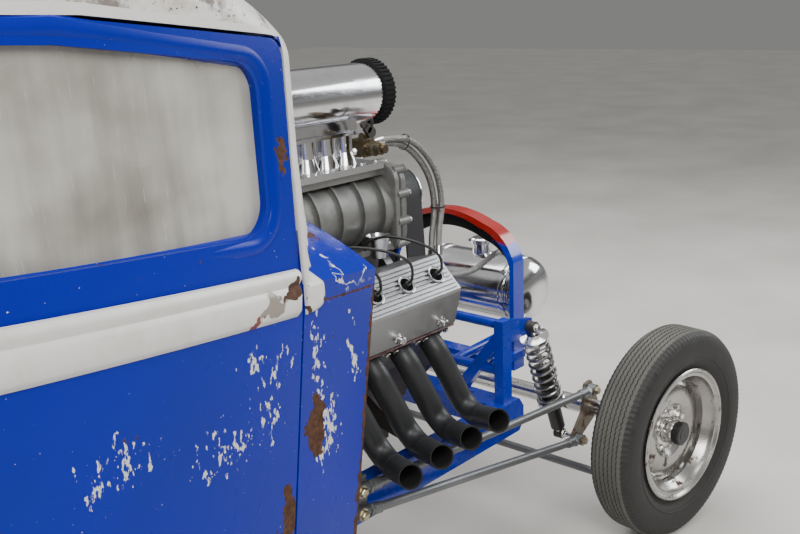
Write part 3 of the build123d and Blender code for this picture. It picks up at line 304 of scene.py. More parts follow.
def white_paint(name, spots=(), patina=0.0):
    """Ivory paint that has gone chalky, with rusty pits and stains."""
    look = Look(name)
    stain = look.noise(14, 6, 0.65).span(0.5, 0.8)
    base = look.mix(stain * (0.35 + patina), WHITE, rgb(0.42, 0.33, 0.24))
    rust = look.noise(120, 4, 0.6).span(0.72 - 0.12 * patina, 0.76 - 0.12 * patina)
    for kind, centre, size in spots:
        worn = (look.near(at(*centre), size) + look.noise(70, 5, 0.6) * 0.7).span(0.78, 0.84)
        if kind == "rust":
            rust = rust.most(worn)
        else:
            base = look.mix(worn, base, BARE if kind == "bare" else rgb(0.2, 0.035, 0.03))
    if patina:
        rust = rust.most(look.noise(9, 8, 0.7).span(0.55, 0.64) * patina)
    brown = look.ramp(look.noise(80, 5, 0.7), [(0.3, RUST), (0.7, RUST_PALE)])
    return look.set(colour=look.mix(rust, base, brown), rough=rust.span(0, 1, 0.32, 0.85),
                    normal=look.bump(look.noise(30, 3) - rust, 0.2, 0.0012))


def hazy_pane(name):
    """Old clear plastic gone milky and brown, streaked and scratched."""
    look = Look(name)
    haze = look.noise(3.2, 3, 0.5, look.stretched(1.6))
    tone = haze * 0.75 + look.noise(26, 3, 0.55, look.stretched(0.12)) * 0.25
    colour = look.ramp(tone, [(0.3, rgb(0.19, 0.18, 0.155)), (0.48, rgb(0.38, 0.365, 0.32)),
                              (0.62, rgb(0.56, 0.545, 0.49))])
    scratch = look.noise(240, 2, 0.5, look.stretched(0.05)).span(0.68, 0.72)
    return look.set(colour=look.mix(scratch * 0.25, colour, rgb(0.8, 0.79, 0.75)), through=0.12, ior=1.49,
                    rough=haze.span(0.3, 0.7, 0.16, 0.42), normal=look.bump(haze, 0.05, 0.003))


def brushed(name, colour, rough, dirt):
    """Polished or machined metal with fine lines along one way and dirt in clouds."""
    look = Look(name)
    lines = look.noise(60, 3, 0.6, look.stretched(30))
    grime = look.noise(18, 5, 0.65).span(0.48, 0.8)
    return look.set(colour=look.mix(grime * dirt, colour, times(colour, 0.35)), metal=1,
                    rough=(lines + grime).span(0.3, 1.5, rough * 0.7, min(0.9, rough * 2.2)),
                    normal=look.bump(lines, 0.05, 0.0004))


def cast_metal(name, colour, rough=0.5):
    look = Look(name)
    pebble = look.noise(420, 3, 0.6)
    grime = look.noise(22, 6, 0.65).span(0.45, 0.75)
    return look.set(colour=look.mix(grime * 0.55, colour, times(colour, 0.4)), metal=0.85,
                    rough=pebble.span(0.3, 0.7, rough * 0.85, rough * 1.25),
                    normal=look.bump(pebble, 0.28, 0.0008))


def tyre_rubber(name):
    """Black rubber, dusty in clouds."""
    look = Look(name)
    dust = look.noise(34, 5, 0.6)
    colour = look.ramp(dust, [(0.3, rgb(0.011, 0.011, 0.012)), (0.75, rgb(0.034, 0.032, 0.029))])
    return look.set(colour=colour, rough=dust.span(0.3, 0.7, 0.55, 0.8),
                    normal=look.bump(look.noise(300, 3, 0.6), 0.2, 0.0006))


def braided(name):
    """Woven steel over a hose."""
    look = Look(name)
    weave = look.node("ShaderNodeTexVoronoi", {"Vector": look.place, "Scale": 620}, "Distance", feature="F1")
    return look.set(colour=look.ramp(weave, [(0, rgb(0.8, 0.79, 0.77)), (0.6, rgb(0.14, 0.135, 0.13))]),
                    metal=0.8, rough=weave.span(0, 0.6, 0.28, 0.6), normal=look.bump(weave, 0.6, -0.0012))


def frame_paint(name):
    """Bright blue gloss on the frame, with dirt in clouds and a few chips."""
    look = Look(name)
    cloud = look.noise(9, 5, 0.6).span(0.42, 0.75)
    chips = look.noise(95, 4, 0.6).span(0.71, 0.73)
    colour = look.mix(cloud * 0.7, BRACE_BLUE, rgb(0.004, 0.02, 0.15))
    return look.set(colour=look.mix(chips * 0.6, colour, RUST), rough=cloud.span(0, 1, 0.2, 0.5), coat=0.15,
                    coat_rough=0.12, normal=look.bump(look.noise(14, 3), 0.05, 0.002))


def shell_paint(name):
    """Red over the top of the grille shell and blue down its sides, with a few chips."""
    look = Look(name)
    _, _, z = look.axes()
    blue = (z + look.noise(22, 4, 0.6) * 0.05).span(0.925, 0.932, 1, 0)
    chips = look.noise(110, 4, 0.6).span(0.7, 0.72)
    colour = look.mix(blue, rgb(0.3, 0.01, 0.008), BRACE_BLUE)
    return look.set(colour=look.mix(chips * 0.7, colour, PRIMER), rough=0.2, coat=0.3,
                    normal=look.bump(chips, -0.2, 0.0008))


# Kind, centre and half size of each spot of wear
DOOR_SPOTS = [
    ("specks", (1.52, -0.594, 0.99), (0.11, 0.12, 0.055)),
    ("specks", (1.64, -0.615, 0.87), (0.13, 0.12, 0.065)),
    ("specks", (1.54, -0.6, 0.9), (0.07, 0.12, 0.11)),
    ("specks", (1.9, -0.663, 0.94), (0.1, 0.12, 0.06)),
    ("rust", (1.431, -0.577, 1.364), (0.02, 0.05, 0.055)),
    ("rust", (1.49, -0.59, 0.65), (0.028, 0.05, 0.09)),
]
COWL_SPOTS = [
    ("chips", (1.362, -0.56, 0.93), (0.03, 0.08, 0.19)),
    ("chips", (1.366, -0.56, 0.74), (0.028, 0.08, 0.09)),
    ("chips", (1.33, -0.549, 0.79), (0.05, 0.08, 0.09)),
    ("chips", (1.225, -0.515, 0.9), (0.028, 0.08, 0.09)),
    ("rust", (1.376, -0.563, 0.8), (0.042, 0.05, 0.085)),
    ("rust", (1.205, -0.4, 1.168), (0.06, 0.05, 0.03)),
]
BELT_SPOTS = [
    ("rust", (1.328, -0.552, 1.054), (0.02, 0.05, 0.02)),
    ("rust", (1.396, -0.57, 1.075), (0.006, 0.05, 0.05)),
    ("rust", (1.437, -0.585, 1.112), (0.036, 0.06, 0.034)),
    ("bare", (1.5, -0.597, 1.096), (0.07, 0.06, 0.026)),
    ("red", (1.56, -0.608, 1.092), (0.034, 0.06, 0.022)),
]


def make_looks():
    looks = (
        body_paint("body_blue", COWL_SPOTS, white_pillar=True),
        body_paint("door_blue", DOOR_SPOTS),
        white_paint("roof_white", patina=0.8),
        white_paint("belt_white", BELT_SPOTS),
        frame_paint("frame_blue"),
        shell_paint("shell_paint"),
        tyre_rubber("tyre"),
        plain("tread", rgb(0.105, 0.103, 0.092), 0.85, vary=0.3, bump=0.3, specular=0.2),
        rusted("chromed_steel", rgb(0.78, 0.77, 0.76), 0.16, 1, 34, 0.6),
        rusted("rusty_plate", rgb(0.2, 0.17, 0.13), 0.45, 0.7, 40, 0.53, RUST_PALE),
        rusted("zinc", rgb(0.45, 0.4, 0.28), 0.35, 1, 55, 0.55, rgb(0.08, 0.06, 0.03)),
        rusted("wheel_steel", rgb(0.42, 0.41, 0.39), 0.25, 1, 26, 0.575, rgb(0.075, 0.042, 0.026)),
        rusted("dark_steel", rgb(0.045, 0.04, 0.036), 0.5, 0.3, 40, 0.6),
        rusted("brass", rgb(0.115, 0.088, 0.05), 0.36, 1, 60, 0.5, rgb(0.025, 0.02, 0.012)),
        plain("grey_steel", rgb(0.17, 0.175, 0.18), 0.42, metal=0.6, vary=0.25),
        plain("spring_steel", rgb(0.3, 0.295, 0.285), 0.3, metal=1, vary=0.25),
        plain("satin_aluminium", rgb(0.33, 0.335, 0.345), 0.34, metal=1, vary=0.14, grain=12, bump=0),
        brushed("polished_aluminium", rgb(0.72, 0.72, 0.74), 0.13, 0.35),
        brushed("grey_sheet", rgb(0.4, 0.4, 0.4), 0.35, 0.6),
        cast_metal("cast_aluminium", rgb(0.235, 0.235, 0.225)),
        plain("belt_rubber", rgb(0.022, 0.022, 0.025), 0.6, vary=0.3, bump=0.2),
        plain("band_rubber", rgb(0.01, 0.01, 0.011), 0.8, specular=0.15),
        plain("engine_iron", rgb(0.045, 0.035, 0.035), 0.5, vary=0.4, bump=0.3),
        plain("gasket_red", rgb(0.07, 0.014, 0.014), 0.5, vary=0.3),
        plain("black_pipe", rgb(0.018, 0.019, 0.021), 0.46, vary=0.35, grain=60, bump=0.25),
        # Near-black: soot and painted shade inside the header mouths, a black flange and painted shade inside the
        # grille shell's arch
        plain("black_and_shade", rgb(0.006, 0.006, 0.006), 0.9, vary=0.3),
        plain("seat_vinyl", rgb(0.022, 0.022, 0.024), 0.5, vary=0.2, grain=120, bump=0.4),
        plain("black_paint", rgb(0.015, 0.015, 0.016), 0.35, coat=0.2),
        plain("black_plastic", rgb(0.016, 0.016, 0.017), 0.45),
        hazy_pane("hazy_plastic"),
        braided("braided_hose"),
    )
    return {look.name: look.mat for look in looks}


# Shapes

def square_ways(axis):
    """Two unit ways square to an axis and to each other."""
    side = axis.orthogonal().normalized()
    return side, axis.cross(side)


def circle(side, other, count, start=0):
    """Evenly spread unit ways in the plane of two ways."""
    return [side * cos(a) + other * sin(a)
            for a in (2 * pi * (k + start) / count for k in range(count))]


def shapes(count):
    return [Shape() for _ in range(count)]


def facing(way, up):
    """The turn of a block that looks along way."""
    return Matrix((way, way.cross(up), up)).transposed()


class Shape:
    """A mesh that grows out of turned, swept and cut forms, and then becomes one piece."""

    def __init__(self):
        self.bm = bmesh.new()

    def grid(self, rows, close_rows=False, close_cols=True, ends=False):
        """Faces between rows of points of the same length, and over the first and last row too if ends."""
        made = [[self.bm.verts.new(p) for p in row] for row in rows]
        count, width = len(made), len(made[0])
        for i in range(count if close_rows else count - 1):
            a, b = made[i], made[(i + 1) % count]
            for j in range(width if close_cols else width - 1):
                k = (j + 1) % width
                self.bm.faces.new((a[j], a[k], b[k], b[j]))
        if ends:
            self.bm.faces.new(made[0][::-1])
            self.bm.faces.new(made[-1])
        return self

    def lathe(self, profile, origin, axis, steps):
        """Turns (along, radius) points about an axis; a profile that ends on the axis isn't closed."""
        axis = Vector(axis).normalized()
        ways = circle(*square_ways(axis), steps)
        rows = [[origin + axis * along + way * max(r, 1e-5) for way in ways] for along, r in profile]
        return self.grid(rows, close_rows=profile[-1][1] > 0)

    def tube(self, points, radii, steps):
        """A round bar along points, with one radius or one for each point."""
        points = [Vector(p) for p in points]
        normal, rows = None, []
        for i, p in enumerate(points):
            ahead = (points[min(i + 1, len(points) - 1)] - points[max(i - 1, 0)]).normalized()
            if normal is None:
                normal = ahead.orthogonal().normalized()
            normal = (normal - ahead * normal.dot(ahead)).normalized()
            r = radii[i] if isinstance(radii, list) else radii
            rows.append([p + way * r for way in circle(normal, ahead.cross(normal), steps)])
        return self.grid(rows, ends=True)

    def block(self, centre, size, bevel, turn=Matrix.Identity(3)):
        m = Matrix.Translation(centre) @ turn.to_4x4() @ Matrix.Diagonal((*size, 1))
        made = bmesh.ops.create_cube(self.bm, size=1.0, matrix=m)
        edges = list({e for v in made["verts"] for e in v.link_edges})
        bmesh.ops.bevel(self.bm, geom=edges, offset=bevel, segments=2, affect="EDGES", profile=0.6)

    def nut(self, origin, axis, across, height, washer=True):
        """A hexagon nut with a chamfered top, on a washer."""
        axis = Vector(axis).normalized()
        r = across / sqrt(3)
        ways = circle(*square_ways(axis), 6)
        self.grid([[origin + axis * h + way * wide for way in ways]
                   for h, wide in ((0, r), (height * 0.8, r), (height, r * 0.82))], ends=True)
        if washer:
            self.lathe([(0, 0), (0, r * 1.25), (height * 0.15, r * 1.25), (height * 0.15, 0)],
                       origin - axis * height * 0.05, axis, 20)

    def strip(self, points, outs, profile, closed=False):
        """Sweeps an (across, out) outline along points whose outward directions are outs."""
        last = len(points) - 1
        rows = []
        for i, (p, out) in enumerate(zip(points, outs)):
            if closed:
                ahead = points[(i + 1) % len(points)] - points[i - 1]
            else:
                ahead = points[min(i + 1, last)] - points[max(i - 1, 0)]
            ahead.normalize()
            out = (out - ahead * out.dot(ahead)).normalized()
            across = out.cross(ahead).normalized()
            rows.append([p + across * a + out * o for a, o in profile])
        return self.grid(rows, close_rows=closed, ends=not closed)

    def piece(self, name, look, body="chassis", slot=None, replaces=(), sharp=35):
        bmesh.ops.remove_doubles(self.bm, verts=self.bm.verts, dist=1e-6)
        bmesh.ops.recalc_face_normals(self.bm, faces=self.bm.faces)
        mesh = bpy.data.meshes.new(name)
        self.bm.to_mesh(mesh)
        self.bm.free()
        mesh.shade_smooth()
        mesh.set_sharp_from_angle(angle=radians(sharp))
        mesh.materials.append(LOOKS[look])
        made = link_object(name, mesh)
        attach(made, body)
        if replaces:
            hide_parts(*replaces)
        return made


def curved(points, per):
    """A smooth line through points, with per steps to each run."""
    points = [Vector(p) for p in points]
    last = len(points) - 1
    out = []
    for i in range(last):
        a, b, c, e = (points[min(max(k, 0), last)] for k in range(i - 1, i + 3))
        for t in (k / per for k in range(per)):
            bend, twist = 2 * a - 5 * b + 4 * c - e, 3 * b - a - 3 * c + e
            out.append(0.5 * ((2 * b) + (c - a) * t + bend * t * t + twist * t ** 3))
    return out + [points[-1]]


def rounded(points, radius, per):
    """A closed outline of (d, z) corners with round corners."""
    points = [Vector(p) for p in points]
    out = []
    for i, p in enumerate(points):
        to_a, to_b = points[i - 1] - p, points[(i + 1) % len(points)] - p
        angle = to_a.angle(to_b)
        reach = min(radius / tan(angle / 2), 0.48 * to_a.length, 0.48 * to_b.length)
        to_a, to_b = to_a.normalized(), to_b.normalized()
        middle = p + (to_a + to_b).normalized() * (reach * tan(angle / 2) / sin(angle / 2))
        a, b = p + to_a * reach - middle, p + to_b * reach - middle
        turn = a.angle_signed(b)
        for k in range(per + 1):
            c, s = cos(-turn * k / per), sin(-turn * k / per)
            out.append(middle + Vector((a.x * c - a.y * s, a.x * s + a.y * c)))
    return out


class Skin:
    """The outside of some CAD nodes, for trim that lies on it."""

    def __init__(self, *nodes):
        verts, faces = [], []
        for mesh in (NODES[n].data for n in nodes):
            base = len(verts)
            verts += [v.co.copy() for v in mesh.vertices]
            faces += [[base + i for i in p.vertices] for p in mesh.polygons]
        self.tree = BVHTree.FromPolygons(verts, faces)

    def side(self, d, z, side, default=None):
        """Where a line across the car first meets the skin from outside, and the way out there."""
        place, normal, _, _ = self.tree.ray_cast(at(d, side * 1.2, z), Vector((0, -side, 0)), 1)
        if place is None:
            return default
        return place, (-normal if normal.y * side < 0 else normal)


SHELL_HALF, SHELL_TOP, SHELL_BAND = 0.264, 0.993, 0.013
AXLE_Z, AXLE_R, PLATE_Y = 0.325, 0.028, 0.395


def inside_shell(place):
    """Whether a place lies within the grille shell's arch rather than on its outer band."""
    y, z = abs(place.y), place.z
    crown = SHELL_TOP - SHELL_BAND - 0.155 * y - 0.75 * max(0, y - 0.115) - 3 * max(0, y - 0.215)
    return y <= SHELL_HALF - SHELL_BAND and 0.56 <= z < crown


def on_axle_plate(place):
    """Whether a place of the axle lies on one of its two plates, off the beam."""
    reach = hypot(place.x - AXLE_X, place.z - AXLE_Z)
    return abs(abs(place.y) - PLATE_Y) < 0.008 and reach > AXLE_R + 0.002


def give_second(mesh, look, holds):
    """A second material for the faces whose middle is a place that holds."""
    mesh.materials.append(LOOKS[look])
    for polygon in mesh.polygons:
        polygon.material_index = int(holds(polygon.center))


def paint_cad_nodes():
    """Every CAD node that stays gets the material of its record slot, or another of the same kind."""
    slots = {s["node"]: s["material_slot"] for s in frame["record"]["subparts"]}
    wheels = {f"wheel_{end}_{s}": "wheel_steel" for end in ("front", "rear") for s, _ in SIDES}
    other = {"door_left": "door_blue", "door_right": "door_blue", "valve_covers": "satin_aluminium",
             "scoop_band": "band_rubber", **wheels}
    # The faces inside the grille shell's arch are near-black: its black rear flange, and painted shade on the
    # other faces within the arch
    second = {"grille_shell": ("black_and_shade", inside_shell), "front_axle": ("rusty_plate", on_axle_plate)}
    for name, node in NODES.items():
        mesh = node.data
        mesh.materials.clear()
        mesh.materials.append(LOOKS[other.get(name, slots[name])])
        for polygon in mesh.polygons:
            polygon.material_index = 0
        if name in second:
            give_second(mesh, *second[name])
        mesh.shade_smooth()
        mesh.set_sharp_from_angle(angle=radians(28))


# Wheels and tyres

TYRE_LIP, TYRE_RIM = 0.211, 0.1903
TREAD_STEPS, TREAD_SHARE, NOTCH_H = 480, 0.64, 0.0022
GROOVE_HALF, GROOVE_H, GROOVE_SWING = 0.0016, 0.006, 0.0018
# Where, hubs, spin axis, tyre radius and width, half the rim's width, grooves as shares of the tread, zigzags
WHEELS = (("front", FRONT_HUB, FRONT_SPIN, 0.325, 0.14, 0.0504, (-0.8, -0.48, -0.16, 0.16, 0.48, 0.8), 120),
          ("rear", REAR_HUB, Y_AXIS, 0.395, 0.27, 0.0972, (-0.9, -0.03, 0.03, 0.9), 0))


def make_tyre(name, hub, out, body, node, radius, width, grooves, zigzag):
    """A bias-ply look: flat tread with zigzag grooves, notched shoulders and ringed side walls."""
    half, seat, shoulder = width / 2, 0.36 * width, 0.955 * radius
    edge = TREAD_SHARE * half
    wall = curved([(seat, TYRE_LIP + 0.002, 0), (seat + 0.3 * (half - seat), TYRE_LIP + 0.012, 0),
                   (0.93 * half, TYRE_LIP + 0.026, 0), (half, (TYRE_LIP + shoulder) / 2, 0),
                   (0.985 * half, shoulder - 0.02, 0), (0.9 * half, shoulder - 0.001, 0),
                   (0.8 * half, radius - 0.0085, 0), (edge, radius - 0.001, 0)], 5)
    tread = []
    for c in (g * edge for g in grooves):
        tread += [(c - GROOVE_HALF - 0.0004, 0), (c - GROOVE_HALF, GROOVE_H),
                  (c + GROOVE_HALF, GROOVE_H), (c + GROOVE_HALF + 0.0004, 0)]
    rows = []
    for i, way in enumerate(circle(*square_ways(out), TREAD_STEPS)):
        zig = GROOVE_SWING * (abs((i * zigzag / TREAD_STEPS * 2) % 2 - 1) * 2 - 1)
        notch = NOTCH_H if i % 4 < 2 else 0
        side_row = [(p.x, p.y - notch if abs(k - len(wall) + 8) < 6 else p.y) for k, p in enumerate(wall)]
        row = [(-a, r) for a, r in side_row] + [(a + zig, radius - h) for a, h in tread] + side_row[::-1]
        row += [(seat, TYRE_RIM), (-seat, TYRE_RIM)]
        rows.append([hub + out * a + way * r for a, r in row])
    shape = Shape().grid(rows, close_rows=True)
    for face in (1, -1):
        for share, wide in ((0.32, 0.945), (0.58, 0.965)):
            r = TYRE_LIP + share * (shoulder - TYRE_LIP)
            a = face * half * wide
            shape.lathe([(a - face * 0.004, r - 0.004), (a + face * 0.0022, r - 0.001),
                         (a + face * 0.0022, r + 0.001), (a - face * 0.004, r + 0.004)], hub, out, 96)

    def on_tread(place):
        along = (place - hub).dot(out)
        return (place - hub - out * along).length > radius - 0.0035 and abs(along) < edge + 0.004

    give_second(shape.piece(name, "tyre", body, replaces=(node,), sharp=40).data, "tread", on_tread)


# The rim's outline: how many half widths out, how far beyond that, and the radius
BARREL = ((-1, -0.0105, 0.206), (-1, -0.009, 0.208), (-1, -0.002, 0.207), (-1, -0.001, 0.193),
          (-1, 0.004, 0.189), (-0.595238, 0, 0.168), (0.357143, 0, 0.168), (1, -0.012, 0.186),
          (1, -0.002, 0.19), (1, 0.001, 0.202), (1, 0.003, 0.207), (1, 0.008, 0.208), (1, 0.0108, 0.205),
          (1, 0.0105, 0.199), (1, 0.004, 0.193), (1, 0.003, 0.184), (1, -0.006, 0.1815), (1, -0.012, 0.178),
          (0.396825, 0, 0.1635), (-0.634921, 0, 0.1635), (-1, 0.002, 0.183), (-1, -0.006, 0.187),
          (-1, -0.0105, 0.194))
DISC_R, DISC_ALONG, DISC_THICK = (0.086, 0.164), (0.01, -0.004), 0.004
DISC_RINGS = (0, 0.3, 0.5, 0.62, 0.74, 0.86, 1)
# Slots, steps round for each, the first and last of them that are open, and the ring they lie in
SLOTS, SLOT_STEPS, SLOT_FROM, SLOT_TO, SLOT_RING = 8, 16, 2, 11, 4
WHEEL_NUTS, NUT_CIRCLE = 5, 0.0635


def slotted_disc(shape, hub, out):
    """A dished ring with long openings near its outer edge."""
    steps = SLOTS * SLOT_STEPS
    front = []
    for way in circle(*square_ways(out), steps):
        row = []
        for s in DISC_RINGS:
            r = DISC_R[0] + (DISC_R[1] - DISC_R[0]) * s
            along = DISC_ALONG[0] + (DISC_ALONG[1] - DISC_ALONG[0]) * s
            row.append(hub + out * (along + 0.01 * sin(pi * min(1, s * 1.15))) + way * r)
        front.append(row)
    back = [[shape.bm.verts.new(p - out * DISC_THICK) for p in row] for row in front]
    front = [[shape.bm.verts.new(p) for p in row] for row in front]

    def is_open(i, j):
        return j == SLOT_RING and SLOT_FROM <= i % SLOT_STEPS <= SLOT_TO

    for i in range(steps):
        k = (i + 1) % steps
        for j in range(len(DISC_RINGS) - 1):
            if is_open(i, j):
                continue
            ring = ((i, j), (k, j), (k, j + 1), (i, j + 1))
            shape.bm.faces.new([front[a][b] for a, b in ring])
            shape.bm.faces.new([back[a][b] for a, b in ring[::-1]])
            for beyond, a, b in (((i - 1, j), ring[0], ring[3]), ((i + 1, j), ring[1], ring[2]),
                                 ((i, j - 1), ring[0], ring[1]), ((i, j + 1), ring[3], ring[2])):
                if is_open(*beyond):
                    wall = ((front, a), (front, b), (back, b), (back, a))
                    shape.bm.faces.new([rows[c][r] for rows, (c, r) in wall])


def make_wheel(name, hub, out, node, seat):
    """Chromed steel: stepped rim, slotted dished disc, five nuts, hub snout with a dark cap."""
    shape = Shape()
    shape.lathe([(share * seat + along, r) for share, along, r in BARREL], hub, out, 96)
    slotted_disc(shape, hub, out)
    shape.lathe([(-0.012, 0.0545), (-0.004, 0.0545), (-0.002, 0.06), (-0.0015, 0.072), (0.006, 0.08),
                 (0.0105, 0.086), (0.0065, 0.0865), (0.001, 0.082), (-0.006, 0.074), (-0.008, 0.06)],
                hub, out, 64)
    shape.piece(name, "wheel_steel", name, "chromed_steel", (node,), 30)

    shape = Shape()
    shape.lathe([(-0.046, 0), (-0.046, 0.055), (-0.004, 0.057), (-0.002, 0.042), (0.022, 0.04), (0.03, 0.036),
                 (0.032, 0)], hub, out, 48)
    for way in circle(*square_ways(out), WHEEL_NUTS, 0.25):
        shape.nut(hub + way * NUT_CIRCLE - out * 0.0015, out, 0.019, 0.016)
    u = square_ways(out)[0]
    valve = hub + u * 0.15 + out * 0.004
    shape.tube([valve, valve + out * 0.03 + u * 0.012], 0.0035, 8)
    shape.piece(name + "_hub", "chromed_steel", name)

    shape = Shape()
    shape.lathe([(0.03, 0), (0.03, 0.0335), (0.034, 0.035), (0.052, 0.0345), (0.0545, 0.031), (0.0545, 0.02),
                 (0.056, 0.018), (0.056, 0)], hub, out, 32)
    for way in circle(*square_ways(out), 8):
        shape.block(hub + way * 0.0335 + out * 0.043, (0.006, 0.012, 0.018), 0.001, facing(way, out))
    shape.piece(name + "_cap", "black_plastic", name)


def make_wheels():
    for s, side in SIDES:
        for end, hubs, spin, radius, width, seat, grooves, zigzag in WHEELS:
            name, hub, out = f"{end}_wheel_{s}", hubs[s], spin * side
            make_tyre(f"{end}_tyre_{s}", hub, out, name, f"tyre_{end}_{s}", radius, width, grooves, zigzag)
            make_wheel(name, hub, out, f"wheel_{end}_{s}", seat)


# Body trim

WINDOW = ((1.48, 1.228), (1.48, 1.545), (1.9, 1.602), (2.26, 1.622), (2.26, 1.313))
BELT_DOOR = ((1.396, 1.098), (2.067, 1.184), (2.386, 1.2255))
BELT_REAR = ((2.41, 1.2255), (2.56, 1.224), (2.72, 1.218), (2.95, 1.192), (3.25, 1.095), (3.56, 0.955))
BELT_HALF, BELT_OUT = 0.047, 0.014
# Height, front edge and thickness of the belt moulding's end on the cowl, from its foot up into the pillar
BELT_END = ((1.046, 1.372, -0.004), (1.048, 1.356, 0.004), (1.052, 1.342, 0.009), (1.06, 1.333, 0.012),
            (1.075, 1.3285, 0.013), (1.098, 1.33, 0.013), (1.116, 1.337, 0.013), (1.132, 1.346, 0.013),
            (1.148, 1.3545, 0.012), (1.168, 1.361, 0.011), (1.195, 1.3655, 0.01), (1.23, 1.369, 0.009),
            (1.27, 1.371, 0.007), (1.32, 1.372, 0.005), (1.4, 1.372, -0.002))
BELT_END_REAR, COWL_END = 1.3915, 1.39


def spread(points, count):
    """The same open line in even steps, as count points."""
    lengths = [0]
    for a, b in zip(points, points[1:]):
        lengths.append(lengths[-1] + (b - a).length)
    out = []
    for i in range(count):
        want = lengths[-1] * i / (count - 1)
        k = min(max(j for j in range(len(lengths)) if lengths[j] <= want + 1e-9), len(points) - 2)
        share = (want - lengths[k]) / max(lengths[k + 1] - lengths[k], 1e-9)
        out.append(points[k].lerp(points[k + 1], share))
    return out


def make_belt():
    """A narrow ridge above a wide rounded band, along the belt line of door and quarter."""
    h = BELT_HALF
    outline = [(-h, -0.003), (-h, 0.004), (-h + 0.006, 0.009), (-h + 0.014, BELT_OUT), (0.004, BELT_OUT),
               (0.012, 0.01), (0.016, 0.007), (0.02, 0.008), (0.03, 0.0125), (0.038, 0.011),
               (h - 0.002, 0.005), (h, -0.003)]
    for s, side in SIDES:
        profile = [(a * side, o) for a, o in outline][::side]
        for name, line, skin, body in (
                ("door", BELT_DOOR, Skin(f"door_{s}"), f"door_{s}_body"),
                ("quarter", BELT_REAR, Skin("body_shell", f"door_{s}"), "chassis")):
            points, outs, hit = [], [], None
            for p in spread(curved([(d, z, 0) for d, z in line], 8), 48):
                hit = skin.side(p.x, p.y, side, hit)
                if hit:
                    points.append(at(p.x, hit[0].y, p.y))
                    outs.append((Y_AXIS * side * 0.6 + hit[1] * 0.4).normalized())
            Shape().strip(points, outs, profile).piece(f"belt_{name}_{s}", "belt_white", body, "roof_white")


def make_belt_ends():
    """The belt moulding's end on the cowl, which runs up into the white windscreen pillar."""
    skin = Skin("body_shell")
    rear = BELT_END_REAR
    for s, side in SIDES:
        rows, hit = [], None
        for z, front, thick in curved(BELT_END, 4):
            edge = min(0.01, 0.3 * (rear - front))
            row = []
            for d, lift in ((rear, -0.006), (rear, 0.6 * thick), (rear - 0.3 * edge, thick),
                            (rear - edge, thick), ((front + rear) / 2, thick), (front + edge, thick),
                            (front + 0.3 * edge, 0.85 * thick), (front, 0.4 * thick), (front, -0.006)):
                hit = skin.side(min(d, COWL_END), z, side, hit)
                row.append(at(d, hit[0].y + side * lift, z))
            rows.append(row)
        Shape().grid(rows, ends=True).piece(f"belt_cowl_{s}", "belt_white", slot="roof_white", sharp=75)


def make_window_frames():
    """A deep stepped surround pressed round each door window."""
    outline = rounded(WINDOW, 0.062, 10)
    centre = sum(outline, Vector((0, 0))) / len(outline)
    profile = [(-0.024, -0.004), (-0.02, 0.003), (-0.01, 0.006), (0, 0.005), (0.008, 0), (0.012, -0.006),
               (0.017, -0.02), (0.0165, -0.026), (0.004, -0.02), (-0.01, -0.01)]
    for s, side in SIDES:
        skin, points = Skin(f"door_{s}"), []
        for p in outline:
            p = p + (p - centre).normalized() * 0.02
            hit = skin.side(p.x, p.y, side)
            if hit:
                points.append(at(p.x, hit[0].y, p.y))
        outs = [Y_AXIS * side] * len(points)
        frame_strip = Shape().strip(points, outs, [(-a * side, o) for a, o in profile], closed=True)
        frame_strip.piece(f"window_frame_{s}", "door_blue", f"door_{s}_body", "body_blue")


def make_handles():
    """A small chromed lever and its escutcheon near each door's rear edge."""
    for s, side in SIDES:
        place, out = Skin(f"door_{s}").side(2.3, 1.13, side)
        shape = Shape()
        shape.lathe([(-0.004, 0), (-0.004, 0.024), (0.003, 0.024), (0.008, 0.016), (0.02, 0.011),
                     (0.03, 0.0105), (0.03, 0)], place, out, 32)
        start = place + out * 0.027
        path = curved([start, start + out * 0.01, start + out * 0.014 + X_AXIS * 0.02,
                       start + out * 0.012 + X_AXIS * 0.075, start + out * 0.006 + X_AXIS * 0.11], 6)
        shape.tube(path, [0.009 - 0.003 * k / (len(path) - 1) for k in range(len(path))], 14)
        shape.piece(f"door_handle_{s}", "chromed_steel", f"door_{s}_body")


# Engine trim

BORE_1, BORE_PITCH, CRANK_Z = 0.7, 0.119, 0.6
HEAD_BASE, HEAD_H, HEAD_HALF = 0.262, 0.1, 0.1
COVER_H, COVER_L, COVER_BASE, WELL_R = 0.1, 0.477, 0.112, 0.02
COVER_LOW, BOLT_UP = HEAD_BASE + HEAD_H, HEAD_BASE + HEAD_H / 2 + 0.03
COVER_TOP = COVER_LOW + COVER_H
BANK = sqrt(0.5)


def on_bank(side, along, across, up):
    """A point of a cylinder bank: along goes rearward, across outward and down, up away from the crank."""
    return at(BORE_1 + 1.5 * BORE_PITCH + along, side * (up + across) * BANK, CRANK_Z + (up - across) * BANK)


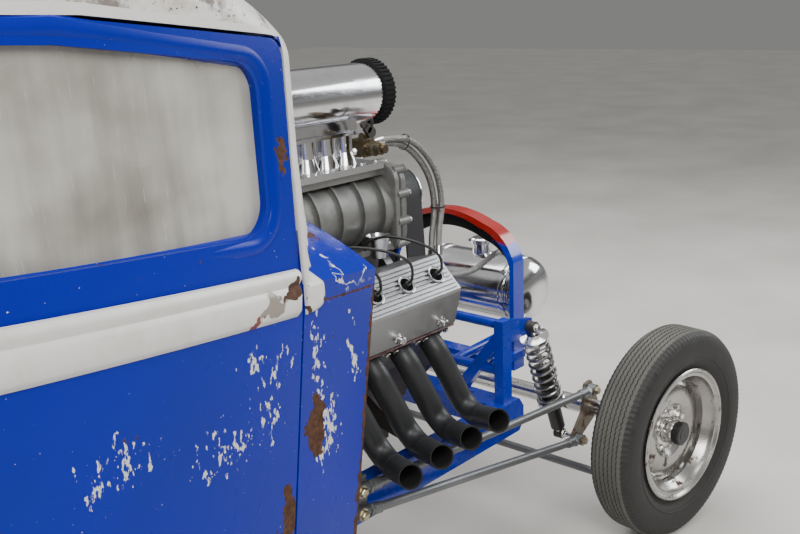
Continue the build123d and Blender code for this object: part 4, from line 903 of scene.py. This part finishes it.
def make_cover_trim():
    """Gaskets, plug wells with leads, thumb nuts and the flange bolts of the header plates."""
    for s, side in SIDES:
        rear, out, up = -X_AXIS, Vector((0, side * BANK, -BANK)), Vector((0, side * BANK, BANK))
        gasket, nuts, rings, boots, leads = shapes(5)
        gasket.block(on_bank(side, 0, 0, COVER_LOW), (COVER_L + 0.008, 2 * COVER_BASE + 0.008, 0.005), 0.001,
                     Matrix((rear, out, up)).transposed())
        face_way = (out * 0.859 + up * 0.513).normalized()
        for along in (-0.172, 0, 0.172):
            nuts.lathe([(0, 0), (0, 0.014), (0.002, 0.0145), (0.003, 0.009), (0.01, 0.0088), (0.011, 0.0105),
                        (0.019, 0.0105), (0.021, 0.0085), (0.021, 0)],
                       on_bank(side, along, COVER_BASE - 0.011, COVER_LOW + 0.03), face_way, 20)
        for i in range(4):
            along = (i - 1.5) * BORE_PITCH
            rings.lathe([(0.0015 * sin(a), WELL_R + 0.0045 + 0.0017 * cos(a))
                         for a in (pi * k / 4 for k in range(8))],
                        on_bank(side, along, 0, COVER_TOP + 0.0071), up, 48)
            boots.lathe([(0, 0), (0, 0.0105), (0.045, 0.01), (0.052, 0.0085), (0.07, 0.007), (0.072, 0)],
                        on_bank(side, along, 0, COVER_TOP - 0.055), up, 18)
            start = on_bank(side, along, 0, COVER_TOP + 0.012)
            lean = along + 0.035 + 0.022 * i
            leads.tube(curved([start, start + up * 0.028 + rear * 0.004,
                               on_bank(side, along + 0.018, -0.03, COVER_TOP + 0.068 + 0.006 * (i % 2)),
                               on_bank(side, along + 0.05, -0.085, COVER_TOP + 0.058),
                               on_bank(side, lean + 0.04, -0.15, COVER_TOP + 0.004),
                               on_bank(side, lean + 0.05, -0.185, COVER_TOP - 0.07)], 7), 0.0038, 10)
            for bolt in (along - 0.044, along + 0.044):
                nuts.nut(on_bank(side, bolt, HEAD_HALF + 0.01, BOLT_UP), out, 0.016, 0.009)
        gasket.piece(f"cover_gasket_{s}", "gasket_red", slot="engine_iron")
        nuts.piece(f"cover_nuts_{s}", "chromed_steel")
        rings.piece(f"well_rings_{s}", "polished_aluminium")
        boots.piece(f"plug_boots_{s}", "black_plastic")
        leads.piece(f"plug_leads_{s}", "black_plastic")


def make_mouths():
    """A dark, rolled edge just inside each header's mouth, with a near-black lining and plug deeper in: soot at
    the lip, painted shade down the pipe.
    """
    for s, side in SIDES:
        black_and_shade, welds = shapes(2)
        for i in range(4):
            d = BORE_1 + i * BORE_PITCH
            mouth = at(d - 0.005, side * 0.528, 0.542 + 0.006 * (3 - i))
            way = (mouth - at(d - 0.085, side * 0.366, 0.509)).normalized()
            # Near-black cup that lines the pipe and closes it 0.15 m in: painted shade for the pipe's depth, with
            # soot at the rolled lip
            black_and_shade.lathe([(-0.15, 0), (-0.15, 0.0284), (-0.002, 0.0284), (-0.0005, 0.029), (0.0004, 0.0305),
                        (0.0001, 0.0322), (-0.004, 0.0323), (-0.004, 0.0286), (-0.145, 0.0282), (-0.145, 0)],
                       mouth, way, 40)
            welds.lathe([(-0.096, 0.0318), (-0.093, 0.033), (-0.09, 0.0318)], mouth, way, 40)
        black_and_shade.piece(f"header_black_and_shade_{s}", "black_and_shade", slot="black_pipe")
        welds.piece(f"header_welds_{s}", "black_pipe")


# Blower and injection trim

BLOWER_FRONT, COVER_FRONT, BLOWER_BACK = 0.627, 0.581, 1.095
BLOWER_TOP, BLOWER_LOW = 1.192, 0.962
BLOWER_Z = (BLOWER_TOP + BLOWER_LOW) / 2
PLATE_TOP = BLOWER_TOP + 0.0183
LUGS = ((0.122, 0.969), (0.134, 1.036), (0.134, 1.115), (0.122, 1.182), (0.048, 0.957), (0.048, 1.194))
LOWER_DISC = at(0.59, 0, 0.848)
FLANGE_HALF, FLANGE_LOW, FLANGE_TOP, FLANGE_CORNER = 0.143, 0.948, 1.203, 0.052
# Rear and front of each joint flange, and how much smaller it is
FLANGES = ((0.641, 0.62, 0), (0.608, 0.585, 0.007))


def make_blower_trim():
    """Bosses and bolts round the drive cover, plate bolts, the rear caps and the disc on the lower pulley."""
    bosses, bolts, caps, disc = shapes(4)
    for y, z in LUGS + tuple((-y, z) for y, z in LUGS):
        bosses.lathe([(0, 0), (0, 0.0125), (0.046, 0.0125), (0.049, 0.01), (0.049, 0)],
                     at(BLOWER_FRONT, y, z), X_AXIS, 16)
        bolts.nut(at(COVER_FRONT - 0.003, y, z), X_AXIS, 0.014, 0.01)
    for count, first, pitch, half, z in ((8, 0.668, 0.0545, 0.104, PLATE_TOP),
                                         (9, 0.652, 0.052, 0.12, BLOWER_LOW + 0.016)):
        for i in range(count):
            for y in (-half, half):
                bolts.nut(at(first + pitch * i, y, z), Z_AXIS, 0.013, 0.008)
    for way in circle(Y_AXIS, Z_AXIS, 6):
        bolts.nut(at(0.488, 0, BLOWER_Z) + way * 0.029, X_AXIS, 0.012, 0.008)
    for y in (-0.058, 0.058):
        caps.lathe([(0, 0), (0, 0.046), (0.01, 0.046), (0.016, 0.04), (0.02, 0.02), (0.02, 0)],
                   at(BLOWER_BACK, y, BLOWER_Z), -X_AXIS, 32)
    disc.lathe([(-0.02, 0), (-0.02, 0.088), (0.004, 0.09), (0.01, 0.086), (0.012, 0.06), (0.006, 0.05),
                (0.006, 0.026), (0.02, 0.022), (0.024, 0.012), (0.024, 0)], LOWER_DISC, X_AXIS, 56)
    for way in circle(Y_AXIS, Z_AXIS, 12):
        rib_at = LOWER_DISC + X_AXIS * 0.011 + way * 0.068
        disc.block(rib_at, (0.034, 0.004, 0.006), 0.001, facing(way, X_AXIS))
    bolts.piece("blower_bolts", "chromed_steel")
    bosses.piece("blower_bosses", "cast_aluminium")
    caps.piece("blower_rear_caps", "cast_aluminium")
    disc.piece("front_drive_cover", "satin_aluminium", slot="cast_aluminium")


def make_drive_flanges():
    """The two squarish joint flanges of the blower's drive cover, with round corners and chamfered edges."""
    flanges = Shape()
    for rear, front, less in FLANGES:
        rows = []
        for d, inset in ((rear, 0.004), (rear - 0.003, 0), (front + 0.003, 0), (front, 0.004)):
            half, low, top = FLANGE_HALF - less - inset, FLANGE_LOW + less + inset, FLANGE_TOP - less - inset
            outline = rounded(((-half, low), (half, low), (half, top), (-half, top)), FLANGE_CORNER, 8)
            rows.append([at(d, p.x, p.y) for p in outline])
        flanges.grid(rows, ends=True)
    flanges.piece("drive_flanges", "cast_aluminium")


HOSE_ROUTE = ((0.716, -0.128, 1.268), (0.672, -0.146, 1.277), (0.6, -0.16, 1.268), (0.53, -0.16, 1.222),
              (0.476, -0.158, 1.15), (0.455, -0.155, 1.06), (0.474, -0.158, 0.975), (0.492, -0.17, 0.905))
SECOND_HOSE = Vector((-0.016, 0.014, -0.012))
VALVE = at(0.735, -0.118, 1.262)


def make_injection():
    """The fuel valve at the front of the plate, its linkage, the pair of braided hoses and a breather cup."""
    fittings, linkage, valve, hoses, ties, cup = shapes(6)
    valve.block(VALVE, (0.04, 0.046, 0.05), 0.004)
    valve.lathe([(0, 0), (0, 0.021), (0.026, 0.021), (0.03, 0.016), (0.048, 0.016), (0.05, 0.011),
                 (0.062, 0.011), (0.062, 0)], VALVE - Y_AXIS * 0.021, -Y_AXIS, 24)
    valve.nut(VALVE + Z_AXIS * 0.025, Z_AXIS, 0.022, 0.01)
    valve.nut(at(0.75, -0.128, 1.287), Z_AXIS, 0.01, 0.016)
    linkage.tube(curved([at(0.7, -0.092, 1.288), at(0.69, -0.11, 1.31), at(0.7, -0.118, 1.335),
                         at(0.73, -0.112, 1.322)], 6), 0.004, 10)
    for k in range(3):
        r = 0.016 - 0.003 * k
        linkage.lathe([(0, 0), (0, r), (0.01, r), (0.01, 0)], at(0.712 + 0.013 * k, -0.122, 1.3 + 0.012 * k),
                      -Y_AXIS, 18)
    first = [at(*p) for p in HOSE_ROUTE]
    second = [p + SECOND_HOSE for p in first]
    for route, sides in ((first, 24), (second, 6)):
        hoses.tube(curved(route, 9), 0.0092, 18)
        for end, inner in ((route[0], route[1]), (route[-1], route[-2])):
            fittings.lathe([(-0.04, 0.0094), (-0.038, 0.0118), (-0.012, 0.0122), (-0.01, 0.0108), (0, 0.0108),
                            (0.002, 0.0132), (0.014, 0.0132), (0.016, 0.01), (0.03, 0.009), (0.03, 0)],
                           end, end - inner, sides)
    for i in (2, 5):
        ties.lathe([(-0.002, 0.0212), (-0.002, 0.0225), (0.002, 0.0225), (0.002, 0.0212)],
                   (first[i] + second[i]) / 2, first[i + 1] - first[i - 1], 28)
    cup.lathe([(0, 0), (0, 0.022), (0.05, 0.031), (0.056, 0.034), (0.06, 0.034), (0.06, 0.03), (0.052, 0.027),
               (0.052, 0)], at(0.75, -0.172, 0.968), Z_AXIS, 36)
    linkage.piece("throttle_linkage", "dark_steel")
    valve.piece("fuel_valve", "brass", slot="grey_steel")
    hoses.piece("fuel_hoses", "braided_hose", slot="grey_steel")
    fittings.piece("hose_fittings", "chromed_steel")
    ties.piece("hose_ties", "black_plastic")
    cup.piece("breather_cup", "polished_aluminium")


# Front suspension trim

COIL_TOP, COIL_LOW, COIL_Y, COIL_R = (0.27, 0.668), (0.112, 0.262), 0.345, 0.0365
COIL_TURNS, COIL_STEPS = 9, 26
# The bright parts of a coil-over: steps, and (share of its length, radius)
COLLARS = ((36, ((0.3, 0.0242), (0.3, 0.04), (0.31, 0.045), (0.345, 0.045), (0.352, 0.042), (0.352, 0.0242))),
           (36, ((0.88, 0), (0.88, 0.043), (0.89, 0.045), (0.915, 0.045), (0.93, 0.03), (0.945, 0.022),
                 (0.945, 0))),
           (20, ((0.6, 0), (0.6, 0.0085), (0.965, 0.0085), (0.965, 0))))


def make_coilovers():
    """Open coil springs over dark bodies, with threaded collars, caps and eyes."""
    springs, bodies, bright, eyes = shapes(4)
    for s, side in SIDES:
        low, top = (at(d, side * COIL_Y, z) for d, z in (COIL_LOW, COIL_TOP))
        line, length, out = (top - low).normalized(), (top - low).length, Y_AXIS * side
        ways = circle(*square_ways(line), COIL_STEPS)
        path = []
        for k in range(COIL_TURNS * COIL_STEPS + 1):
            t = k / COIL_STEPS
            rise = min(max((t - 0.5) / (COIL_TURNS - 1), 0), 1)
            along = length * (0.365 + 0.515 * rise) + 0.0035 * min(1, t, COIL_TURNS - t)
            path.append(low + line * along + ways[k % COIL_STEPS] * COIL_R)
        springs.tube(path, 0.005, 10)
        bodies.lathe([(0.022, 0), (0.022, 0.017), (0.03, 0.0235), (0.15, 0.024), (0.152, 0.0265),
                      (0.158, 0.0265), (0.16, 0.024), (length * 0.62, 0.024), (length * 0.63, 0.018),
                      (length * 0.63, 0)], low, line, 32)
        for steps, profile in COLLARS:
            bright.lathe([(length * share, r) for share, r in profile], low, line, steps)
        for p in (low, top):
            eyes.lathe([(-0.014, 0), (-0.014, 0.0175), (0.014, 0.0175), (0.014, 0)], p, Y_AXIS, 28)
            bright.nut(p + out * 0.0145, out, 0.019, 0.011)
        bright.tube([low + out * 0.014, low + out * 0.0435], 0.008, 14)
        bright.tube([low, low + line * 0.026], 0.012, 14)
    springs.piece("coil_springs", "spring_steel", slot="chromed_steel", replaces=("coilovers_front",))
    bodies.piece("damper_bodies", "black_paint")
    bright.piece("coilover_collars", "chromed_steel")
    eyes.piece("coilover_eyes", "dark_steel")


# Front and rear (d, y, z) of the upper and the lower radius rod
RODS = (((0.025, 0.4143, 0.4), (1.08, 0.3793, 0.47)), ((0.1, 0.4143, 0.252), (1.08, 0.3793, 0.408)))


def make_rod_ends():
    """Bolts and lock nuts at the eyes of the radius rods."""
    bolts, nuts = shapes(2)
    for s, side in SIDES:
        out = Y_AXIS * side
        for rod in RODS:
            front, rear = (at(d, side * y, z) for d, y, z in rod)
            way = (rear - front).normalized()
            for eye, toward in ((front, way), (rear, -way)):
                bolts.nut(eye + out * 0.0125, out, 0.022, 0.012)
                bolts.lathe([(0, 0), (0, 0.0065), (0.024, 0.0065), (0.024, 0)], eye, out, 14)
                foot = eye + toward * 0.03
                nuts.nut(foot, toward, 0.031, 0.012, washer=False)
                nuts.lathe([(0.012, 0.0118), (0.012, 0.0155), (0.04, 0.0155), (0.044, 0.0118)],
                           foot, toward, 20)
    bolts.piece("rod_bolts", "zinc", slot="chromed_steel")
    nuts.piece("rod_lock_nuts", "grey_steel")


TANK_AT, STRAP_Y = at(0.055, 0, 0.703), 0.148


def make_tank_trim():
    """The front tank with rounded ends, band clamps, a capped filler, the outlet hose and a breather line."""
    lo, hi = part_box("front_tank")
    half = (hi[1] - lo[1]) / 2
    steel, hose, tank = shapes(3)
    end = [(half - 0.062 * (1 - sin(a)), 0.108 * cos(a) ** 0.72)
           for a in (pi / 2 * k / 14 for k in range(14))] + [(half, 0)]
    tank.lathe([(-y, r) for y, r in end[::-1]] + end, TANK_AT, Y_AXIS, 96)
    tank.lathe([(0.1, 0), (0.1, 0.033), (0.14, 0.033), (0.142, 0)], TANK_AT, Z_AXIS, 36)
    for side in (-1, 1):
        y, rim = side * STRAP_Y, side * (half - 0.058)
        tank.lathe([(y - 0.009, 0.106), (y - 0.009, 0.1115), (y - 0.005, 0.112), (y + 0.005, 0.112),
                    (y + 0.009, 0.1115), (y + 0.009, 0.106)], TANK_AT, Y_AXIS, 72)
        tank.lathe([(rim - 0.003, 0.1075), (rim - 0.001, 0.1095), (rim + 0.001, 0.1095),
                    (rim + 0.003, 0.107)], TANK_AT, Y_AXIS, 96)
        for turn in (0.6, 2.4):
            way = Vector((cos(turn), 0, sin(turn)))
            steel.nut(TANK_AT + Y_AXIS * y + way * 0.111, way, 0.014, 0.01)
        steel.lathe([(y - 0.0165, 0.1078), (y - 0.015, 0.1092), (y - 0.0135, 0.1078)], TANK_AT, Y_AXIS, 64)
    cap = Vector((TANK_AT.x, 0, hi[2]))
    steel.lathe([(-0.004, 0), (-0.004, 0.038), (0.01, 0.0385), (0.014, 0.034), (0.016, 0)], cap, Z_AXIS, 36)
    for way in circle(X_AXIS, Y_AXIS, 3):
        steel.block(cap + way * 0.04 + Z_AXIS * 0.004, (0.014, 0.012, 0.008), 0.002, facing(way, Z_AXIS))
    out = at(0.085, -0.165, 0.8)
    steel.lathe([(-0.016, 0), (-0.016, 0.018), (0.004, 0.018), (0.006, 0.013), (0.02, 0.013), (0.022, 0)],
                out, Z_AXIS, 24)
    hose.tube(curved([out + Z_AXIS * 0.02, at(0.1, -0.166, 0.845), at(0.16, -0.166, 0.862),
                      at(0.25, -0.175, 0.855), at(0.36, -0.19, 0.842), at(0.46, -0.18, 0.85),
                      at(0.5, -0.168, 0.878)], 9), 0.0095, 16)
    steel.tube(curved([at(0.03, -0.11, 0.806), at(0.034, -0.112, 0.836), at(0.06, -0.12, 0.852),
                       at(0.14, -0.14, 0.846)], 8), 0.008, 14)
    tank.piece("tank_shell", "polished_aluminium", replaces=("front_tank",))
    steel.piece("tank_fittings", "chromed_steel")
    hose.piece("tank_hose", "braided_hose", slot="grey_steel")


# Seats

SEAT_Y, SEAT_LOW = 0.35, 0.4725
CHANNELS, CHANNEL_SPREAD = 6, 0.72
# (d, z, half width) of the seat shell, from its front lip under the cushion and up the back
SEAT_SHELL = ((1.795, 0.6, 0.15), (1.8, 0.52, 0.168), (1.83, SEAT_LOW + 0.02, 0.174),
              (1.96, SEAT_LOW + 0.006, 0.176), (2.13, SEAT_LOW + 0.01, 0.176), (2.215, 0.54, 0.176),
              (2.238, 0.64, 0.176), (2.262, 0.86, 0.176), (2.285, 1.06, 0.16), (2.292, 1.122, 0.12))


def pad(centre, size, lean, crown):
    """A crowned cushion, drawn in between its corners, with sewn channels across its face."""
    shape = Shape()
    bmesh.ops.create_cube(shape.bm, size=2.0)
    bmesh.ops.subdivide_edges(shape.bm, edges=shape.bm.edges[:], cuts=27, use_grid_fill=True)
    turn = Matrix.Rotation(radians(lean), 3, "Y")
    for v in shape.bm.verts:
        a, b, c = v.co
        round_in = 1 - 0.045 * (abs(a) ** 6 + abs(b) ** 6) * (0.4 + 0.6 * abs(c))
        waist = 1 - 0.03 * (1 - min(abs(a), abs(b)) ** 2) * (1 - c * c)
        x, y = a * round_in * (waist if abs(a) > 0.98 else 1), b * round_in * (waist if abs(b) > 0.98 else 1)
        z = c
        if c > 0:
            z = c * (1 + crown * (1 - a * a) * (1 - b * b) - 0.16 * (abs(a) ** 8 + abs(b) ** 8))
            for k in range(CHANNELS):
                place = CHANNEL_SPREAD * (2 * k / (CHANNELS - 1) - 1)
                z -= 0.11 * c * exp(-((b - place) / 0.035) ** 2) * (1 - abs(a) ** 6)
        v.co = Vector((x * size[0], y * size[1], z * size[2])) / 2
    bmesh.ops.transform(shape.bm, matrix=Matrix.Translation(centre) @ turn.to_4x4(), verts=shape.bm.verts)
    return shape


def make_seats():
    """A bucket seat a side: sewn pads on a thin shell."""
    for s, side in SIDES:
        y = side * SEAT_Y
        for name, centre, size, lean, crown in (
                ("cushion", at(1.96, y, 0.56), (0.37, 0.33, 0.11), -4.5, 0.28),
                ("back", at(2.178, y, 0.87), (0.48, 0.33, 0.085), -76.5, 0.25)):
            made = pad(centre, size, lean, crown).piece(f"seat_{name}_{s}", "seat_vinyl", sharp=180)
        rows = []
        for d, z, half in SEAT_SHELL:
            row = []
            for a in (-1 + 2 * k / 12 for k in range(13)):
                lift = 0.055 * max(0, abs(a) - 0.72) / 0.28
                ahead, rise = (lift, 0) if z > 0.53 else (0, lift)
                row.append(at(d - ahead, y + a * half, z + rise))
            rows.append(row)
        shell = Shape().grid(rows, close_cols=False)
        made = shell.piece(f"seat_shell_{s}", "black_paint", replaces=("seats",) if side > 0 else ())
        thick = made.modifiers.new("thick", "SOLIDIFY")
        thick.thickness, thick.offset = 0.005, 1


# The studio

FLOOR_HALF = 24
# Name, place, aim, size, power and colour of each lamp
LAMPS = (("key", (-2.5, -4.5, 4.6), (0.3, 0, 0.9), 3.2, 330, (1, 0.985, 0.96)),
         ("top", (0.6, 0.5, 5.2), (0.3, 0, 0.6), 4, 240, (1, 1, 1)),
         ("front", (5.2, -2.2, 3), (0.9, -0.3, 0.7), 2.5, 150, (0.95, 0.98, 1)),
         ("far", (1.5, 5, 3.4), (0.2, 0, 0.8), 3, 140, (1, 1, 1)),
         ("back", (-5.5, 1, 3.4), (-0.8, 0, 0.8), 3, 120, (1, 1, 1)))
# How bright the surroundings are, from the horizon up to overhead
SKY = ((0, 0.4), (0.1, 0.5), (0.2, 0.24), (0.36, 0.24), (0.52, 1), (1, 0.85))


def make_floor():
    h = FLOOR_HALF
    mesh = bpy.data.meshes.new("floor")
    mesh.from_pydata([(-h, -h, 0), (h, -h, 0), (h, h, 0), (-h, h, 0)], [], [(0, 1, 2, 3)])
    floor = link_object("floor", mesh)
    look = Look("floor")
    cloud = look.noise(1.3, 5, 0.6)
    look.set(colour=look.ramp(cloud, [(0.3, rgb(0.5, 0.48, 0.45)), (0.7, rgb(0.6, 0.58, 0.55))]),
             rough=cloud.span(0.3, 0.7, 0.45, 0.6), normal=look.bump(look.noise(40), 0.05, 0.001))
    mesh.materials.append(look.mat)


def make_lights():
    for name, place, aim, size, power, colour in LAMPS:
        data = bpy.data.lights.new(name, "AREA")
        data.energy, data.size, data.color = power, size, colour
        lamp = link_object(name, data)
        lamp.location = place
        lamp.rotation_mode = "QUATERNION"
        lamp.rotation_quaternion = (Vector(aim) - Vector(place)).to_track_quat("-Z", "Y")
    world = bpy.data.worlds.new("studio")
    bpy.context.scene.world = world
    world.use_nodes = True
    nodes, links = world.node_tree.nodes, world.node_tree.links
    axes, band = nodes.new("ShaderNodeSeparateXYZ"), nodes.new("ShaderNodeValToRGB")
    set_stops(band.color_ramp.elements, [(place, rgb(level, level, level * 0.98)) for place, level in SKY])
    links.new(nodes.new("ShaderNodeTexCoord").outputs["Generated"], axes.inputs[0])
    links.new(axes.outputs[2], band.inputs[0])
    links.new(band.outputs[0], nodes["Background"].inputs["Color"])
    nodes["Background"].inputs["Strength"].default_value = 0.55


LOOKS = make_looks()
make_camera()
make_floor()
make_lights()
paint_cad_nodes()
make_wheels()
make_belt()
make_belt_ends()
make_window_frames()
make_handles()
make_seats()
make_cover_trim()
make_mouths()
make_blower_trim()
make_drive_flanges()
make_injection()
make_coilovers()
make_rod_ends()
make_tank_trim()
